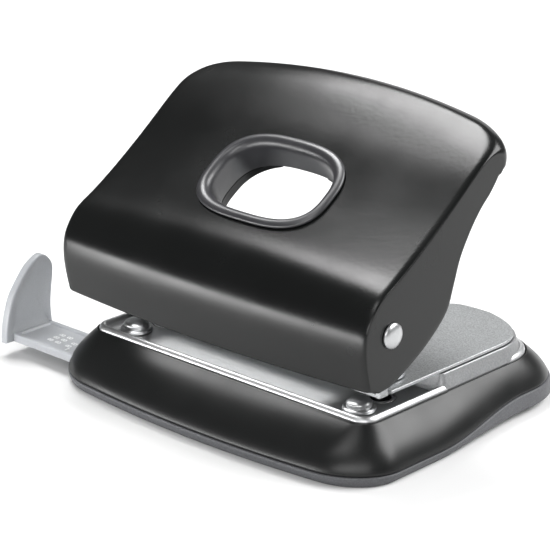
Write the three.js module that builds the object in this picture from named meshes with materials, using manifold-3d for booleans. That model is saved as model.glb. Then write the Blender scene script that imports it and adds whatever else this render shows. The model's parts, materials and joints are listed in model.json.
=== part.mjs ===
// A desk punch for two holes: a pressed lever over sprung punches, on a plated die plate in a plastic base.
// Lengths are in millimetres. X runs across the punch, Y runs back from the paper side and Z is up.
// The origin is the middle of the flat bottom.
import * as THREE from "three";
import { mergeVertices } from "three/addons/utils/BufferGeometryUtils.js";
import Module from "manifold-3d";

const wasm = await Module();
wasm.setup();

// Base
const baseWidth = 119;
const baseDepth = 103.4;
const baseHeight = 14.5;
const frontFlank = 14.3;
const rearFlank = 14;
const sideFlank = 8.2;
const widestHeight = 2.6;
const shellWall = 2;
const baseFrontRadius = 17;
const baseRearRadius = 24;
const baseFrontBow = 4.9;
const baseRearBow = 5;
const waistFront = -17;
const waistRear = 23;
const waistDrawShare = 0.045;
const partingHeight = 3.3;
const partingRise = 3.4;
const footWidth = 116;
const footFront = 50.6;
const footRear = 48.6;
const footRadius = 14;
const footDrawShare = 0.08;
const footRound = 0.8;
const trayWall = 1.6;
const trayFloor = 1.5;
const trayTabWidth = 12;
const trayTabRise = 4;
const trayTabPlace = 20;

// Die plate
const beadHeight = 1.2;
const beadWidth = 2.4;
const floorDrop = 0.9;
const plateSheet = 1;
const plateFrontRadius = 4.8;
const plateRearRadius = 13.9;
const platformHeight = 4.3;
const platformRound = 2.6;
const platformRearRadius = 17.5;
const throatDepth = 30.5;

// Punches
const holeSpacing = 80;
const holeMargin = 12;
const punchRadius = 2.75;
const punchClearance = 0.12;
const punchTopHeight = 29;
const punchTipRise = 0.5;
const dieRadius = 5.2;
const dieDepth = 3.6;
const bushRadius = 3.9;
const bushFlangeRadius = 6.4;
const bushFlange = 1.2;
const bushHeight = 7;
const springWire = 0.9;
const springRadius = 5.3;
const springTurns = 6;
const collarRadius = 6.6;
const collarThick = 1.2;
const collarDrop = 3.5;
const neckRadius = 2.2;

// Bracket
const bracketSheet = 1;
const earOutset = 9.5;
const bracketFront = 7;
const bracketRearInset = 1.1;
const bracketCorner = 17;
const bracketNotch = 2;
const earSheet = 1.5;
const earNeck = 3.2;
const earNeckRise = 3;
const earHeadRadius = 7.4;
const bracketRivetRadius = 3;
const bracketRivetDome = 1.1;

// Lever
const leverSideRoom = 6.1;
const leverReach = 68;
const leverRise = 62.5;
const leverSkirtHeight = 9.3;
const skirtOverhang = 7.6;
const leverSheet = 1.2;
const foldRadius = 2.2;
const rearCornerRadius = 18;
const pivotBack = 4;
const pivotHeight = 24.6;
const pivotRadius = 2.6;
const rivetHeadRadius = 3.7;
const rivetDome = 1.9;
const washerRadius = 5;
const yokeSheet = 1.6;
const yokeBarWidth = 13;
const yokeLip = 4;
const yokeBossRadius = 7;

// Finger opening and its collar
const eyeWidth = 44.8;
const eyeLength = 30;
const eyeRim = 3.1;
const eyeBack = 18.6;
const eyeCollarDepth = 7.5;
const eyeRimRise = 1.6;
const eyeCollarWall = 1.5;

// Paper guide
const guideWidth = 15;
const guideThick = 2.5;
const guideBack = 3;
const guideDrop = 8.3;
const guideReach = 80;
const guideLength = 106;
const paddleWidth = 18.6;
const paddleHeight = 23.7;
const paddleThick = 2.5;
const paddleLead = 2.7;
const guideBorder = 1.6;
const guideRecess = 0.5;
const hangerThick = 2.4;
const hangerRoot = 5;
const hangerLeft = -32;
const hangerRight = 6.5;

// Fixings
const frontRivetRadius = 4.5;
const frontRivetFlange = 1.1;
const frontRivetCapRadius = 3.5;
const frontRivetCap = 2.3;
const frontRivetBack = 8.2;
const frontRivetSpacing = 83;
const screwRadius = 1.5;
const screwHeadRadius = 2.9;
const screwHead = 1.7;
const lugRadius = 4.6;
const lugDepth = 4;
const ledgeWidth = 4;

// Fits
const seat = 0.3;
const overrun = 1;
const roundSteps = 20;
const curveSteps = 8;
const domeSteps = 4;

// Places that follow from the sizes
const plateTop = baseHeight;
const plateFront = -baseDepth / 2 + frontFlank;
const plateRear = baseDepth / 2 - rearFlank;
const plateHalfWidth = baseWidth / 2 - sideFlank - seat;
const floorTop = plateTop - floorDrop;
const floorUnder = floorTop - plateSheet;
const ledgeTop = floorUnder - seat;
const stopBack = plateFront + throatDepth;
const punchBack = stopBack - holeMargin;
const punchX = holeSpacing / 2;
const platformTop = plateTop + platformHeight;
const bracketUnder = platformTop + seat;
const bracketTop = bracketUnder + bracketSheet;
const leverFront = plateFront - skirtOverhang;
const leverBottom = plateTop + leverSkirtHeight;
const pivotY = plateFront + pivotBack;
const pivotZ = plateTop + pivotHeight;
const earOuter = holeSpacing / 2 + earOutset;
const bracketWidth = 2 * earOuter;
const bracketFloorFront = plateFront + bracketFront;
const bracketFloorRear = plateRear - bracketRearInset;
const leverHalf = earOuter + leverSideRoom;
const punchTip = bracketUnder + punchTipRise;
const punchTop = plateTop + punchTopHeight;
const collarTop = punchTop - collarDrop;
const guideTop = plateTop - guideDrop;
const guideY = plateFront + guideBack;

// Finishes
const finish = (color, roughness, metalness) =>
  new THREE.MeshStandardMaterial({ color, roughness, metalness });
const blackPaint = finish("#2c2e2d", 0.35, 0.2);
const blackPlastic = finish("#262827", 0.5, 0);
const greyPlastic = finish("#5f6064", 0.6, 0);
const ringPlastic = finish("#4b4b50", 0.45, 0);
const guidePlastic = finish("#a4a9ad", 0.35, 0);
const brightPlate = finish("#d8dadb", 0.15, 1);
const grainedSteel = finish("#a9abad", 0.5, 0.9);
const plainSteel = finish("#b4b6b8", 0.3, 1);

const smooth = (from, to, value) => THREE.MathUtils.smoothstep(value, from, to);
const lerp = THREE.MathUtils.lerp;

// Solids, joins and cuts
function solidOf(geometry) {
  const bare = geometry.index ? geometry.toNonIndexed() : geometry.clone();
  bare.deleteAttribute("normal");
  bare.deleteAttribute("uv");
  const merged = mergeVertices(bare, seat / 1000);
  const triVerts = new Uint32Array(merged.index.array);
  const vertProperties = new Float32Array(merged.attributes.position.array);
  return new wasm.Manifold(new wasm.Mesh({ numProp: 3, vertProperties, triVerts }));
}

function meshOf(name, solid, material) {
  const made = solid.getMesh();
  const geometry = new THREE.BufferGeometry();
  geometry.setAttribute("position", new THREE.BufferAttribute(made.vertProperties, made.numProp));
  geometry.setIndex(new THREE.BufferAttribute(made.triVerts, 1));
  const flat = geometry.toNonIndexed();
  flat.computeVertexNormals();
  const mesh = new THREE.Mesh(flat, material);
  mesh.name = name;
  return mesh;
}

const joined = (first, ...others) => others.reduce((sum, solid) => sum.add(solid), first);
const cut = (body, ...tools) => tools.reduce((rest, tool) => rest.subtract(tool), body);

function box(x0, x1, y0, y1, z0, z1) {
  const geometry = new THREE.BoxGeometry(x1 - x0, y1 - y0, z1 - z0);
  return solidOf(geometry.translate((x0 + x1) / 2, (y0 + y1) / 2, (z0 + z1) / 2));
}

// A solid turned about a line along Z; its outline is [radius, height] pairs from the bottom up.
function turned(outline, x, y) {
  const points = outline.map(([radius, height]) => new THREE.Vector2(radius, height));
  return solidOf(new THREE.LatheGeometry(points, roundSteps).rotateX(Math.PI / 2).translate(x, y, 0));
}

// A solid turned about a line along X through (y, z); its outline is [radius, place along X] pairs.
function turnedAcross(outline, y, z) {
  const points = outline.map(([radius, place]) => new THREE.Vector2(radius, place));
  const geometry = new THREE.LatheGeometry(points, roundSteps).rotateZ(-Math.PI / 2);
  return solidOf(geometry.translate(0, y, z));
}

const rodOutline = (radius, from, to) => [[0, from], [radius, from], [radius, to], [0, to]];
const rod = (radius, z0, z1, x, y) => turned(rodOutline(radius, z0, z1), x, y);
const rodAcross = (radius, x0, x1, y, z) => turnedAcross(rodOutline(radius, x0, x1), y, z);

// A flat plate whose outline lies in the XY plane, from z0 up to z1.
function plateOf(shape, z0, z1) {
  const options = { depth: z1 - z0, bevelEnabled: false, curveSegments: curveSteps };
  return solidOf(new THREE.ExtrudeGeometry(shape, options).translate(0, 0, z0));
}

// A flat plate whose outline is drawn in (y, z), from x0 across to x1.
function sidePlateOf(shape, x0, x1, steps = curveSteps) {
  const options = { depth: x1 - x0, bevelEnabled: false, curveSegments: steps };
  const turn = new THREE.Matrix4().makeBasis(
    new THREE.Vector3(0, 1, 0),
    new THREE.Vector3(0, 0, 1),
    new THREE.Vector3(1, 0, 0),
  );
  return solidOf(new THREE.ExtrudeGeometry(shape, options).applyMatrix4(turn).translate(x0, 0, 0));
}

// Faces between rings of equally many points; the rings run anticlockwise seen from above.
function ringFaces(rings, closed) {
  const count = rings[0].length;
  const faces = [];
  const last = closed ? rings.length : rings.length - 1;
  for (let i = 0; i < last; i += 1) {
    const lower = rings[i];
    const upper = rings[(i + 1) % rings.length];
    for (let j = 0; j < count; j += 1) {
      const k = (j + 1) % count;
      faces.push(lower[j], lower[k], upper[k], lower[j], upper[k], upper[j]);
    }
  }
  return faces;
}

function solidOfFaces(faces) {
  const geometry = new THREE.BufferGeometry().setFromPoints(faces);
  return solidOf(geometry);
}

function middleOf(ring) {
  const sum = ring.reduce((total, point) => total.add(point), new THREE.Vector3());
  return sum.divideScalar(ring.length);
}

// A solid through rings, closed by a flat cap at each end.
function capped(rings) {
  const faces = ringFaces(rings, false);
  const bottom = rings[0];
  const top = rings[rings.length - 1];
  const under = middleOf(bottom);
  const over = middleOf(top);
  bottom.forEach((point, j) => faces.push(under, bottom[(j + 1) % bottom.length], point));
  top.forEach((point, j) => faces.push(over, point, top[(j + 1) % top.length]));
  return solidOfFaces(faces);
}

// A closed ring wall through rings that lead round its section.
const ringWall = (rings) => solidOfFaces(ringFaces(rings, true));

// Plan outlines: rounded oblongs with bowed ends and sides that draw in towards the rear.
const cornerSteps = 6;
const endSteps = 6;
const sideSteps = 8;

function planOutline({ half, front, rear, frontRadius, rearRadius, frontBow, rearBow, draw }) {
  const points = [];
  const corner = (x, y, radius, start) => {
    for (let i = 0; i <= cornerSteps; i += 1) {
      const angle = start + (i / cornerSteps) * (Math.PI / 2);
      points.push([x + radius * Math.cos(angle), y + radius * Math.sin(angle)]);
    }
  };
  const straight = (fromX, fromY, toX, toY, steps) => {
    for (let i = 1; i < steps; i += 1) {
      points.push([lerp(fromX, toX, i / steps), lerp(fromY, toY, i / steps)]);
    }
  };
  corner(half - rearRadius, rear - rearRadius, rearRadius, 0);
  straight(half - rearRadius, rear, rearRadius - half, rear, endSteps);
  corner(rearRadius - half, rear - rearRadius, rearRadius, Math.PI / 2);
  straight(-half, rear - rearRadius, -half, front + frontRadius, sideSteps);
  corner(frontRadius - half, front + frontRadius, frontRadius, Math.PI);
  straight(frontRadius - half, front, half - frontRadius, front, endSteps);
  corner(half - frontRadius, front + frontRadius, frontRadius, 1.5 * Math.PI);
  straight(half, front + frontRadius, half, rear - rearRadius, sideSteps);
  return points.map(([x, y]) => {
    const bow = y > 0 ? rearBow * (y / rear) ** 3 : -frontBow * (y / front) ** 3;
    const narrowing = 1 - draw * smooth(waistFront, waistRear, y);
    return [x * narrowing, y - bow * (x / half) ** 2];
  });
}

const blended = (from, to, share) =>
  Object.fromEntries(Object.keys(from).map((key) => [key, lerp(from[key], to[key], share)]));

const inset = (outline, by) => ({
  ...outline,
  half: outline.half - by,
  front: outline.front + by,
  rear: outline.rear - by,
  frontRadius: Math.max(outline.frontRadius - by, seat),
  rearRadius: Math.max(outline.rearRadius - by, seat),
});

const ringAt = (outline, height) => planOutline(outline).map(([x, y]) => new THREE.Vector3(x, y, height));

// Base
const flankPowerShare = 1.75;

const plateOutline = {
  half: plateHalfWidth,
  front: plateFront,
  rear: plateRear,
  frontRadius: plateFrontRadius,
  rearRadius: plateRearRadius,
  frontBow: 0,
  rearBow: 0,
  draw: 0,
};
const pocketOutline = inset(plateOutline, -seat);
const widestOutline = {
  half: baseWidth / 2,
  front: -baseDepth / 2,
  rear: baseDepth / 2,
  frontRadius: baseFrontRadius,
  rearRadius: baseRearRadius,
  frontBow: baseFrontBow,
  rearBow: baseRearBow,
  draw: waistDrawShare,
};
const footOutline = {
  ...widestOutline,
  half: footWidth / 2,
  front: -footFront,
  rear: footRear,
  frontRadius: footRadius,
  draw: footDrawShare,
};

// How far out the flank has swept, from the pocket to the widest line, at a height above the desk.
function flankShare(height) {
  const climb = (height - widestHeight) / (plateTop - widestHeight);
  return 1 - Math.min(Math.max(climb, 0), 1) ** flankPowerShare;
}

// The parting line climbs in an S from the front to the rear.
const partingAt = ([, y]) => partingHeight + partingRise * smooth(waistFront, waistRear, y);

const widestPoints = planOutline(widestOutline);

// A ring of the flank, a share of the way up from the parting line to the plate's edge.
function flankRing(share, wall, lift = 0) {
  return widestPoints.map((point, j) => {
    const height = lerp(partingAt(point) + lift, plateTop, share);
    const sweep = flankShare(height);
    const [x, y] = planOutline(inset(blended(pocketOutline, widestOutline, sweep), wall))[j];
    return new THREE.Vector3(x, y, height);
  });
}

const flankStepShares = [0, 0.16, 0.34, 0.53, 0.71, 0.86, 0.96, 1];
const innerStepShares = [0.6, 0.4, 0.2, 0];

function guideSlot(x0, x1, margin) {
  return box(x0, x1, guideY - guideWidth / 2 - margin, guideY + guideWidth / 2 + margin,
    guideTop - guideThick - margin, guideTop + margin);
}

// A cross web under the die plate that carries the paper guide's bar.
function guideHanger(x) {
  const x0 = x - hangerThick / 2;
  const x1 = x + hangerThick / 2;
  const front = guideY - guideWidth / 2 - hangerThick;
  const back = guideY + guideWidth / 2 + hangerThick;
  const top = guideTop + hangerThick;
  const web = box(x0, x1, front, back, trayFloor + 2 * seat, top);
  const root = box(x0, x1, -baseDepth / 2 + hangerRoot, front + hangerThick, partingHeight + seat, top);
  return cut(joined(web, root), guideSlot(x0 - seat, x1 + seat, seat));
}

function lug(x, y, reach) {
  const top = ledgeTop;
  const bottom = ledgeTop - lugDepth;
  const post = rod(lugRadius, bottom, top, x, y);
  const toFrame = Math.sign(y) * reach;
  const web = box(x - lugRadius, x + lugRadius, Math.min(y, toFrame), Math.max(y, toFrame), bottom, top);
  return joined(post, web);
}

const frontRivetX = frontRivetSpacing / 2;
const frontRivetY = plateFront + frontRivetBack;
const rearScrewX = frontRivetX;
const rearScrewY = plateRear - plateRearRadius;

function baseShell() {
  const ledge = inset(pocketOutline, ledgeWidth);
  const rings = [
    ...flankStepShares.map((share) => flankRing(share, 0)),
    ringAt(pocketOutline, ledgeTop),
    ringAt(ledge, ledgeTop),
    ringAt(ledge, ledgeTop - shellWall),
    ...innerStepShares.map((share) => flankRing(share, shellWall)),
  ];
  let shell = ringWall(rings);
  for (const side of [-1, 1]) {
    shell = shell.add(lug(side * frontRivetX, frontRivetY, -plateFront + ledgeWidth / 2));
    shell = shell.add(lug(side * rearScrewX, rearScrewY, plateRear - ledgeWidth / 2));
    shell = cut(shell,
      rod(screwRadius + seat, 0, plateTop, side * frontRivetX, frontRivetY),
      rod(screwRadius + seat, 0, plateTop, side * rearScrewX, rearScrewY));
  }
  shell = joined(shell, guideHanger(hangerLeft), guideHanger(hangerRight));
  shell = cut(shell, guideSlot(-baseWidth, -plateHalfWidth + ledgeWidth, seat));
  return shell;
}

// A ring of the tray's outside, a share of the way up from the desk to the parting line.
function trayRing(share, wall = 0) {
  return widestPoints.map((point, j) => {
    const height = share * (partingAt(point) - seat);
    const swell = 1 - (1 - Math.min(Math.max((height - footRound / 2) / widestHeight, 0), 1)) ** 2;
    const outline = blended(pocketOutline, blended(footOutline, widestOutline, swell), flankShare(height));
    const [x, y] = planOutline(inset(outline, wall))[j];
    return new THREE.Vector3(x, y, height);
  });
}

const trayStepShares = [0.15, 0.35, 0.6, 0.82, 1];

function chipTray() {
  let tray = capped([
    ringAt(inset(footOutline, footRound), 0),
    ...trayStepShares.map((share) => trayRing(share)),
    trayRing(1, trayWall),
    ringAt(inset(footOutline, 2 * trayWall), trayFloor),
  ]);
  const rearInside = baseDepth / 2 - baseRearBow - shellWall - seat;
  const frontInside = -baseDepth / 2 + shellWall + baseFrontBow / 2 + seat;
  for (const side of [-1, 1]) {
    const x = side * trayTabPlace;
    const tab = (y0, y1) =>
      box(x - trayTabWidth / 2, x + trayTabWidth / 2, y0, y1, trayFloor - seat, partingHeight + trayTabRise);
    const rearTab = tab(rearInside - 2 * trayWall, rearInside - trayWall);
    const frontTab = tab(frontInside + trayWall, frontInside + 2 * trayWall);
    tray = joined(tray, rearTab, frontTab);
  }
  return tray;
}

// Die plate
// The bead's section from its outer edge inwards: shares of its width and of its height.
const beadShares = [[0, 0.17], [0.17, 0.75], [0.42, 1], [0.7, 0.78], [1, 0]];
// The fillet from the bead down to the floor: shares of the bead's width and of the floor's drop.
const beadFootShares = [[1.5, 0.8], [1.9, 1]];

function diePlate() {
  const outline = plateOutline;
  const beadRing = (by, height) => ringAt(inset(outline, by * beadWidth), plateTop + height);
  const pan = capped([
    ringAt(outline, floorUnder),
    ...beadShares.map(([by, rise]) => beadRing(by, rise * beadHeight)),
    ...beadFootShares.map(([by, drop]) => beadRing(by, -drop * floorDrop)),
  ]);
  const platformOutline = {
    ...outline,
    front: stopBack,
    frontRadius: platformRound,
    rearRadius: platformRearRadius,
  };
  const roundTop = [];
  for (let step = 0; step <= domeSteps; step += 1) {
    const angle = (step / domeSteps) * (Math.PI / 2);
    const by = platformRound * (1 - Math.cos(angle));
    roundTop.push(ringAt(inset(platformOutline, by), platformTop - platformRound * (1 - Math.sin(angle))));
  }
  const platform = capped([ringAt(platformOutline, floorUnder), ...roundTop]);
  const hollowOutline = inset(platformOutline, 1.5 * plateSheet);
  const hollow = capped([
    ringAt(hollowOutline, floorUnder - overrun),
    ringAt(hollowOutline, platformTop - plateSheet),
  ]);
  let plate = cut(joined(pan, platform), hollow);
  for (const side of [-1, 1]) {
    plate = cut(plate,
      rod(dieRadius - plateSheet, floorUnder - overrun, plateTop, side * punchX, punchBack),
      rod(screwRadius + seat, floorUnder - overrun, plateTop, side * frontRivetX, frontRivetY),
      rod(screwRadius + seat, floorUnder - overrun, platformTop + overrun, side * rearScrewX, rearScrewY));
  }
  return cut(plate, ...bracketRivetPlaces().map(([x, y]) =>
    rod(bracketRivetRadius / 2 + seat, floorUnder - overrun, platformTop + overrun, x, y)));
}

// A die bush held under the plate by its collar; its spigot comes up flush with the floor.
function dieBush(x) {
  const bore = punchRadius + punchClearance;
  const spigot = dieRadius - plateSheet - seat;
  const flangeTop = floorUnder - seat;
  return turned([
    [bore, floorUnder - dieDepth],
    [dieRadius - seat, floorUnder - dieDepth],
    [dieRadius, floorUnder - dieDepth + seat],
    [dieRadius, flangeTop],
    [spigot, flangeTop],
    [spigot, floorTop],
    [bore, floorTop],
    [bore, floorUnder - dieDepth],
  ], x, punchBack);
}

const rivetEdgeShare = 0.3;
const rivetFootShare = 1.7;

// A point of a dome's outline, from its rim at step 0 to its crown.
function domePoint(step, steps, radius, under, rise) {
  const angle = (step / steps) * (Math.PI / 2);
  return [radius * Math.cos(angle), under + rise * lerp(rivetEdgeShare, 1, Math.sin(angle))];
}

// A straight-shanked rivet with a domed head up from z and a formed foot at the bottom.
// A flange, where it has one, lies under the dome as [radius, thickness].
function domedRivet(x, y, headRadius, headUnder, dome, shank, foot, footTop, flange = [headRadius, 0]) {
  const footRadius = shank * rivetFootShare;
  const [flangeRadius, flangeThick] = flange;
  const domeUnder = headUnder + flangeThick;
  const headOutline = [];
  for (let step = 0; step < domeSteps; step += 1) {
    headOutline.push(domePoint(step, domeSteps, headRadius, domeUnder, dome));
  }
  const flangeOutline = flangeThick > 0
    ? [[flangeRadius, headUnder + flangeThick / 2], [flangeRadius - flangeThick / 2, domeUnder]]
    : [];
  return turned([
    [0, footTop - foot],
    [footRadius, footTop - foot],
    [footRadius, footTop],
    [shank, footTop],
    [shank, headUnder],
    [flangeRadius, headUnder],
    ...flangeOutline,
    ...headOutline,
    [0, domeUnder + dome],
  ], x, y);
}

const frontRivet = (x) =>
  domedRivet(x, frontRivetY, frontRivetCapRadius, floorTop + seat, frontRivetCap, screwRadius, shellWall / 2,
    ledgeTop - lugDepth - seat, [frontRivetRadius, frontRivetFlange]);

function rearScrew(x) {
  const headTop = ledgeTop - lugDepth - seat;
  return turned([
    [0, headTop - screwHead],
    [screwHeadRadius - seat, headTop - screwHead],
    [screwHeadRadius, headTop - screwHead / 2],
    [screwHeadRadius, headTop],
    [screwRadius, headTop],
    [screwRadius, platformTop - platformRound - plateSheet],
    [0, platformTop - platformRound],
  ], x, rearScrewY);
}

// Bracket
const rivetSpreadShares = [[0.26, 0.42], [0.14, 0.76]];

function bracketRivetPlaces() {
  const length = bracketFloorRear - bracketFloorFront;
  return rivetSpreadShares.flatMap(([across, back]) =>
    [-1, 1].map((side) => [side * across * bracketWidth, bracketFloorFront + back * length]));
}

function bracketFloorShape() {
  const half = earOuter;
  const front = bracketFloorFront;
  const rear = bracketFloorRear;
  const notchHalf = bracketWidth / 5;
  const shape = new THREE.Shape();
  shape.moveTo(-half, front);
  shape.lineTo(half, front);
  shape.lineTo(half, rear - bracketCorner);
  shape.quadraticCurveTo(half, rear - bracketCorner / 4, half - bracketCorner, rear);
  shape.quadraticCurveTo(notchHalf + bracketNotch, rear + bracketNotch / 4, notchHalf, rear - bracketNotch);
  shape.lineTo(-notchHalf, rear - bracketNotch);
  shape.quadraticCurveTo(-notchHalf - bracketNotch, rear + bracketNotch / 4, bracketCorner - half, rear);
  shape.quadraticCurveTo(-half, rear - bracketCorner / 4, -half, rear - bracketCorner);
  return shape;
}

// An ear: a narrow neck at the floor that widens to a round head about the pivot.
function earShape() {
  const front = bracketFloorFront;
  const shape = new THREE.Shape();
  shape.moveTo(front, bracketUnder);
  shape.lineTo(front + earNeck, bracketUnder);
  shape.lineTo(front + earNeck, bracketTop + earNeckRise);
  shape.lineTo(pivotY + earHeadRadius, pivotZ);
  shape.absarc(pivotY, pivotZ, earHeadRadius, 0, Math.PI);
  shape.lineTo(front, bracketTop + earNeckRise);
  return shape;
}

function punchBracket() {
  let bracket = plateOf(bracketFloorShape(), bracketUnder, bracketTop);
  for (const side of [-1, 1]) {
    const inner = side * (earOuter - earSheet);
    const outer = side * earOuter;
    bracket = bracket.add(sidePlateOf(earShape(), Math.min(inner, outer), Math.max(inner, outer)));
    const relief = bracketFloorFront + earNeck;
    const reliefEnds = [side * (earOuter - 2 * earSheet), side * (earOuter + overrun)];
    bracket = cut(bracket,
      rodAcross(pivotRadius + punchClearance, -bracketWidth, bracketWidth, pivotY, pivotZ),
      rod(bushRadius + seat, bracketUnder - overrun, bracketTop + overrun, side * punchX, punchBack),
      box(Math.min(...reliefEnds), Math.max(...reliefEnds), relief, relief + earSheet,
        bracketUnder - overrun, bracketTop + seat));
  }
  return cut(bracket, ...bracketRivetPlaces().map(([x, y]) =>
    rod(bracketRivetRadius / 2 + seat, bracketUnder - overrun, bracketTop + overrun, x, y)));
}

const bracketRivet = ([x, y]) =>
  domedRivet(x, y, bracketRivetRadius, bracketTop + seat, bracketRivetDome, bracketRivetRadius / 2,
    plateSheet, platformTop - plateSheet - seat);

// Punches
function guideBush(x) {
  const bore = punchRadius + punchClearance;
  const flangeUnder = bracketTop + seat;
  return turned([
    [bore, bracketUnder - seat],
    [bushRadius, bracketUnder - seat],
    [bushRadius, flangeUnder],
    [bushFlangeRadius, flangeUnder],
    [bushFlangeRadius, flangeUnder + bushFlange],
    [bushRadius, flangeUnder + bushFlange],
    [bushRadius, bracketUnder + bushHeight],
    [bore, bracketUnder + bushHeight],
    [bore, bracketUnder - seat],
  ], x, punchBack);
}

function punchPin(x) {
  const groove = collarThick + 2 * punchClearance;
  return turned([
    [0, punchTip + punchRadius / 3],
    [punchRadius, punchTip],
    [punchRadius, collarTop - groove],
    [neckRadius, collarTop - groove],
    [neckRadius, collarTop],
    [punchRadius, collarTop],
    [punchRadius, punchTop - punchRadius / 3],
    [neckRadius, punchTop],
    [0, punchTop],
  ], x, punchBack);
}

function springCollar(x) {
  const bore = neckRadius + punchClearance;
  const top = collarTop - punchClearance;
  return turned([
    [bore, top - collarThick],
    [collarRadius, top - collarThick],
    [collarRadius, top],
    [bore, top],
    [bore, top - collarThick],
  ], x, punchBack);
}

const springBottom = bracketTop + seat + bushFlange + seat;
const springTop = collarTop - punchClearance - collarThick - seat;
const closedEndShare = 0.08;

class SpringPath extends THREE.Curve {
  constructor(x) {
    super();
    this.x = x;
  }

  getPoint(share, target = new THREE.Vector3()) {
    const wire = springWire / 2;
    const angle = share * springTurns * 2 * Math.PI;
    const climb = smooth(-closedEndShare, 1 + closedEndShare, share);
    const height = lerp(springBottom + wire, springTop - wire, climb);
    const out = springRadius * Math.cos(angle);
    return target.set(this.x + out, punchBack + springRadius * Math.sin(angle), height);
  }
}

const curlSteps = 8;
const wireSides = 5;

function returnSpring(x) {
  const section = new THREE.Shape();
  for (let i = 0; i < wireSides; i += 1) {
    const angle = (i / wireSides) * 2 * Math.PI;
    const point = [(springWire / 2) * Math.cos(angle), (springWire / 2) * Math.sin(angle)];
    if (i === 0) section.moveTo(...point);
    else section.lineTo(...point);
  }
  return solidOf(new THREE.ExtrudeGeometry(section, {
    steps: springTurns * curlSteps,
    extrudePath: new SpringPath(x),
    bevelEnabled: false,
  }));
}

// The least gap between neighbouring turns, measured on points of the wire's path.
function leastSpringGap() {
  const path = new SpringPath(0);
  const samples = springTurns * curlSteps;
  let least = Infinity;
  for (let i = 0; i + curlSteps <= samples; i += 1) {
    const lower = path.getPoint(i / samples);
    const upper = path.getPoint((i + curlSteps) / samples);
    least = Math.min(least, upper.distanceTo(lower) - springWire);
  }
  return least;
}

// Lever
const middleRailShares = [
  [0.026, 0.016], [0.007, 0.123], [0, 0.211], [0.01, 0.291], [0.044, 0.36], [0.1, 0.427],
  [0.191, 0.496], [0.294, 0.571], [0.412, 0.656], [0.537, 0.749], [0.654, 0.842], [0.759, 0.925],
  [0.829, 0.974], [0.885, 1], [0.941, 0.982], [0.984, 0.938], [1, 0.878], [0.996, 0.826],
];
const sideRailShares = [
  [0.057, 0.032], [0.036, 0.135], [0.029, 0.215], [0.037, 0.284], [0.064, 0.336], [0.112, 0.394],
  [0.198, 0.452], [0.299, 0.52], [0.42, 0.608], [0.546, 0.703], [0.652, 0.792], [0.714, 0.839],
  [0.752, 0.853], [0.78, 0.853], [0.801, 0.842], [0.812, 0.826], [0.814, 0.808], [0.81, 0.789],
];
const edgeRailShares = [
  [0.108, 0.012], [0.161, 0.023], [0.227, 0.055], [0.29, 0.092], [0.352, 0.13], [0.412, 0.176],
  [0.461, 0.22], [0.495, 0.263], [0.515, 0.319], [0.535, 0.383], [0.558, 0.453], [0.593, 0.52],
  [0.638, 0.591], [0.685, 0.652], [0.729, 0.695], [0.764, 0.74], [0.786, 0.77], [0.795, 0.77],
];
const railSteps = 32;

function rail(shares) {
  const points = shares.map(([reach, rise]) =>
    new THREE.Vector3(0, leverFront + reach * leverReach, leverBottom + rise * leverRise));
  const curve = new THREE.CatmullRomCurve3(points, false, "centripetal");
  const samples = [];
  for (let i = 0; i <= railSteps; i += 1) samples.push(curve.getPoint(i / railSteps));
  return samples;
}

const frontCrownShare = 0.7;
const rearCrownShare = 0.5;
const topHalfSteps = 6;
const foldSteps = 4;
const sideRows = 3;

// Places across half of the lever, from the middle to the fold, finer in the fold.
function acrossPlaces(radius) {
  const places = [];
  for (let i = 0; i < topHalfSteps; i += 1) places.push((i / topHalfSteps) * (leverHalf - radius));
  for (let i = 0; i <= foldSteps; i += 1) {
    places.push(leverHalf - radius + radius * Math.sin((i / foldSteps) * (Math.PI / 2)));
  }
  return places;
}

function leverRow(middle, side, edge, turn) {
  const radius = lerp(foldRadius, rearCornerRadius, turn);
  const crown = lerp(frontCrownShare, rearCrownShare, turn);
  const half = acrossPlaces(radius).map((x) => {
    const into = Math.max(x - (leverHalf - radius), 0) / radius;
    const fold = 1 - Math.sqrt(Math.max(1 - into * into, 0));
    const share = crown * (x / leverHalf) ** 2 + (1 - crown) * fold;
    const point = middle.clone().lerp(side, share);
    return point.setX(x);
  });
  for (let i = 1; i <= sideRows; i += 1) {
    half.push(side.clone().lerp(edge, i / sideRows).setX(leverHalf));
  }
  const mirrored = half.slice(1).reverse().map((point) => point.clone().setX(-point.x));
  return [...mirrored, ...half];
}

// A sheet of even thickness under a grid of points on its outer face.
function sheetSolid(rows, thickness) {
  const last = rows.length - 1;
  const end = rows[0].length - 1;
  const inner = rows.map((row, i) => row.map((point, j) => {
    const along = rows[Math.min(i + 1, last)][j].clone().sub(rows[Math.max(i - 1, 0)][j]);
    const across = row[Math.min(j + 1, end)].clone().sub(row[Math.max(j - 1, 0)]);
    return point.clone().addScaledVector(along.cross(across).normalize(), thickness);
  }));
  const faces = [];
  const quad = (a, b, c, d) => faces.push(a, b, c, a, c, d);
  for (let i = 0; i < last; i += 1) {
    for (let j = 0; j < end; j += 1) {
      quad(rows[i][j], rows[i][j + 1], rows[i + 1][j + 1], rows[i + 1][j]);
      quad(inner[i][j], inner[i + 1][j], inner[i + 1][j + 1], inner[i][j + 1]);
    }
    quad(rows[i][0], rows[i + 1][0], inner[i + 1][0], inner[i][0]);
    quad(rows[i][end], inner[i][end], inner[i + 1][end], rows[i + 1][end]);
  }
  for (let j = 0; j < end; j += 1) {
    quad(rows[0][j], inner[0][j], inner[0][j + 1], rows[0][j + 1]);
    quad(rows[last][j], rows[last][j + 1], inner[last][j + 1], inner[last][j]);
  }
  return solidOfFaces(faces);
}

const rollStartShare = 0.6;
const rollEndShare = 0.9;
const middleRail = rail(middleRailShares);
const sideRail = rail(sideRailShares);
const edgeRail = rail(edgeRailShares);

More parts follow.
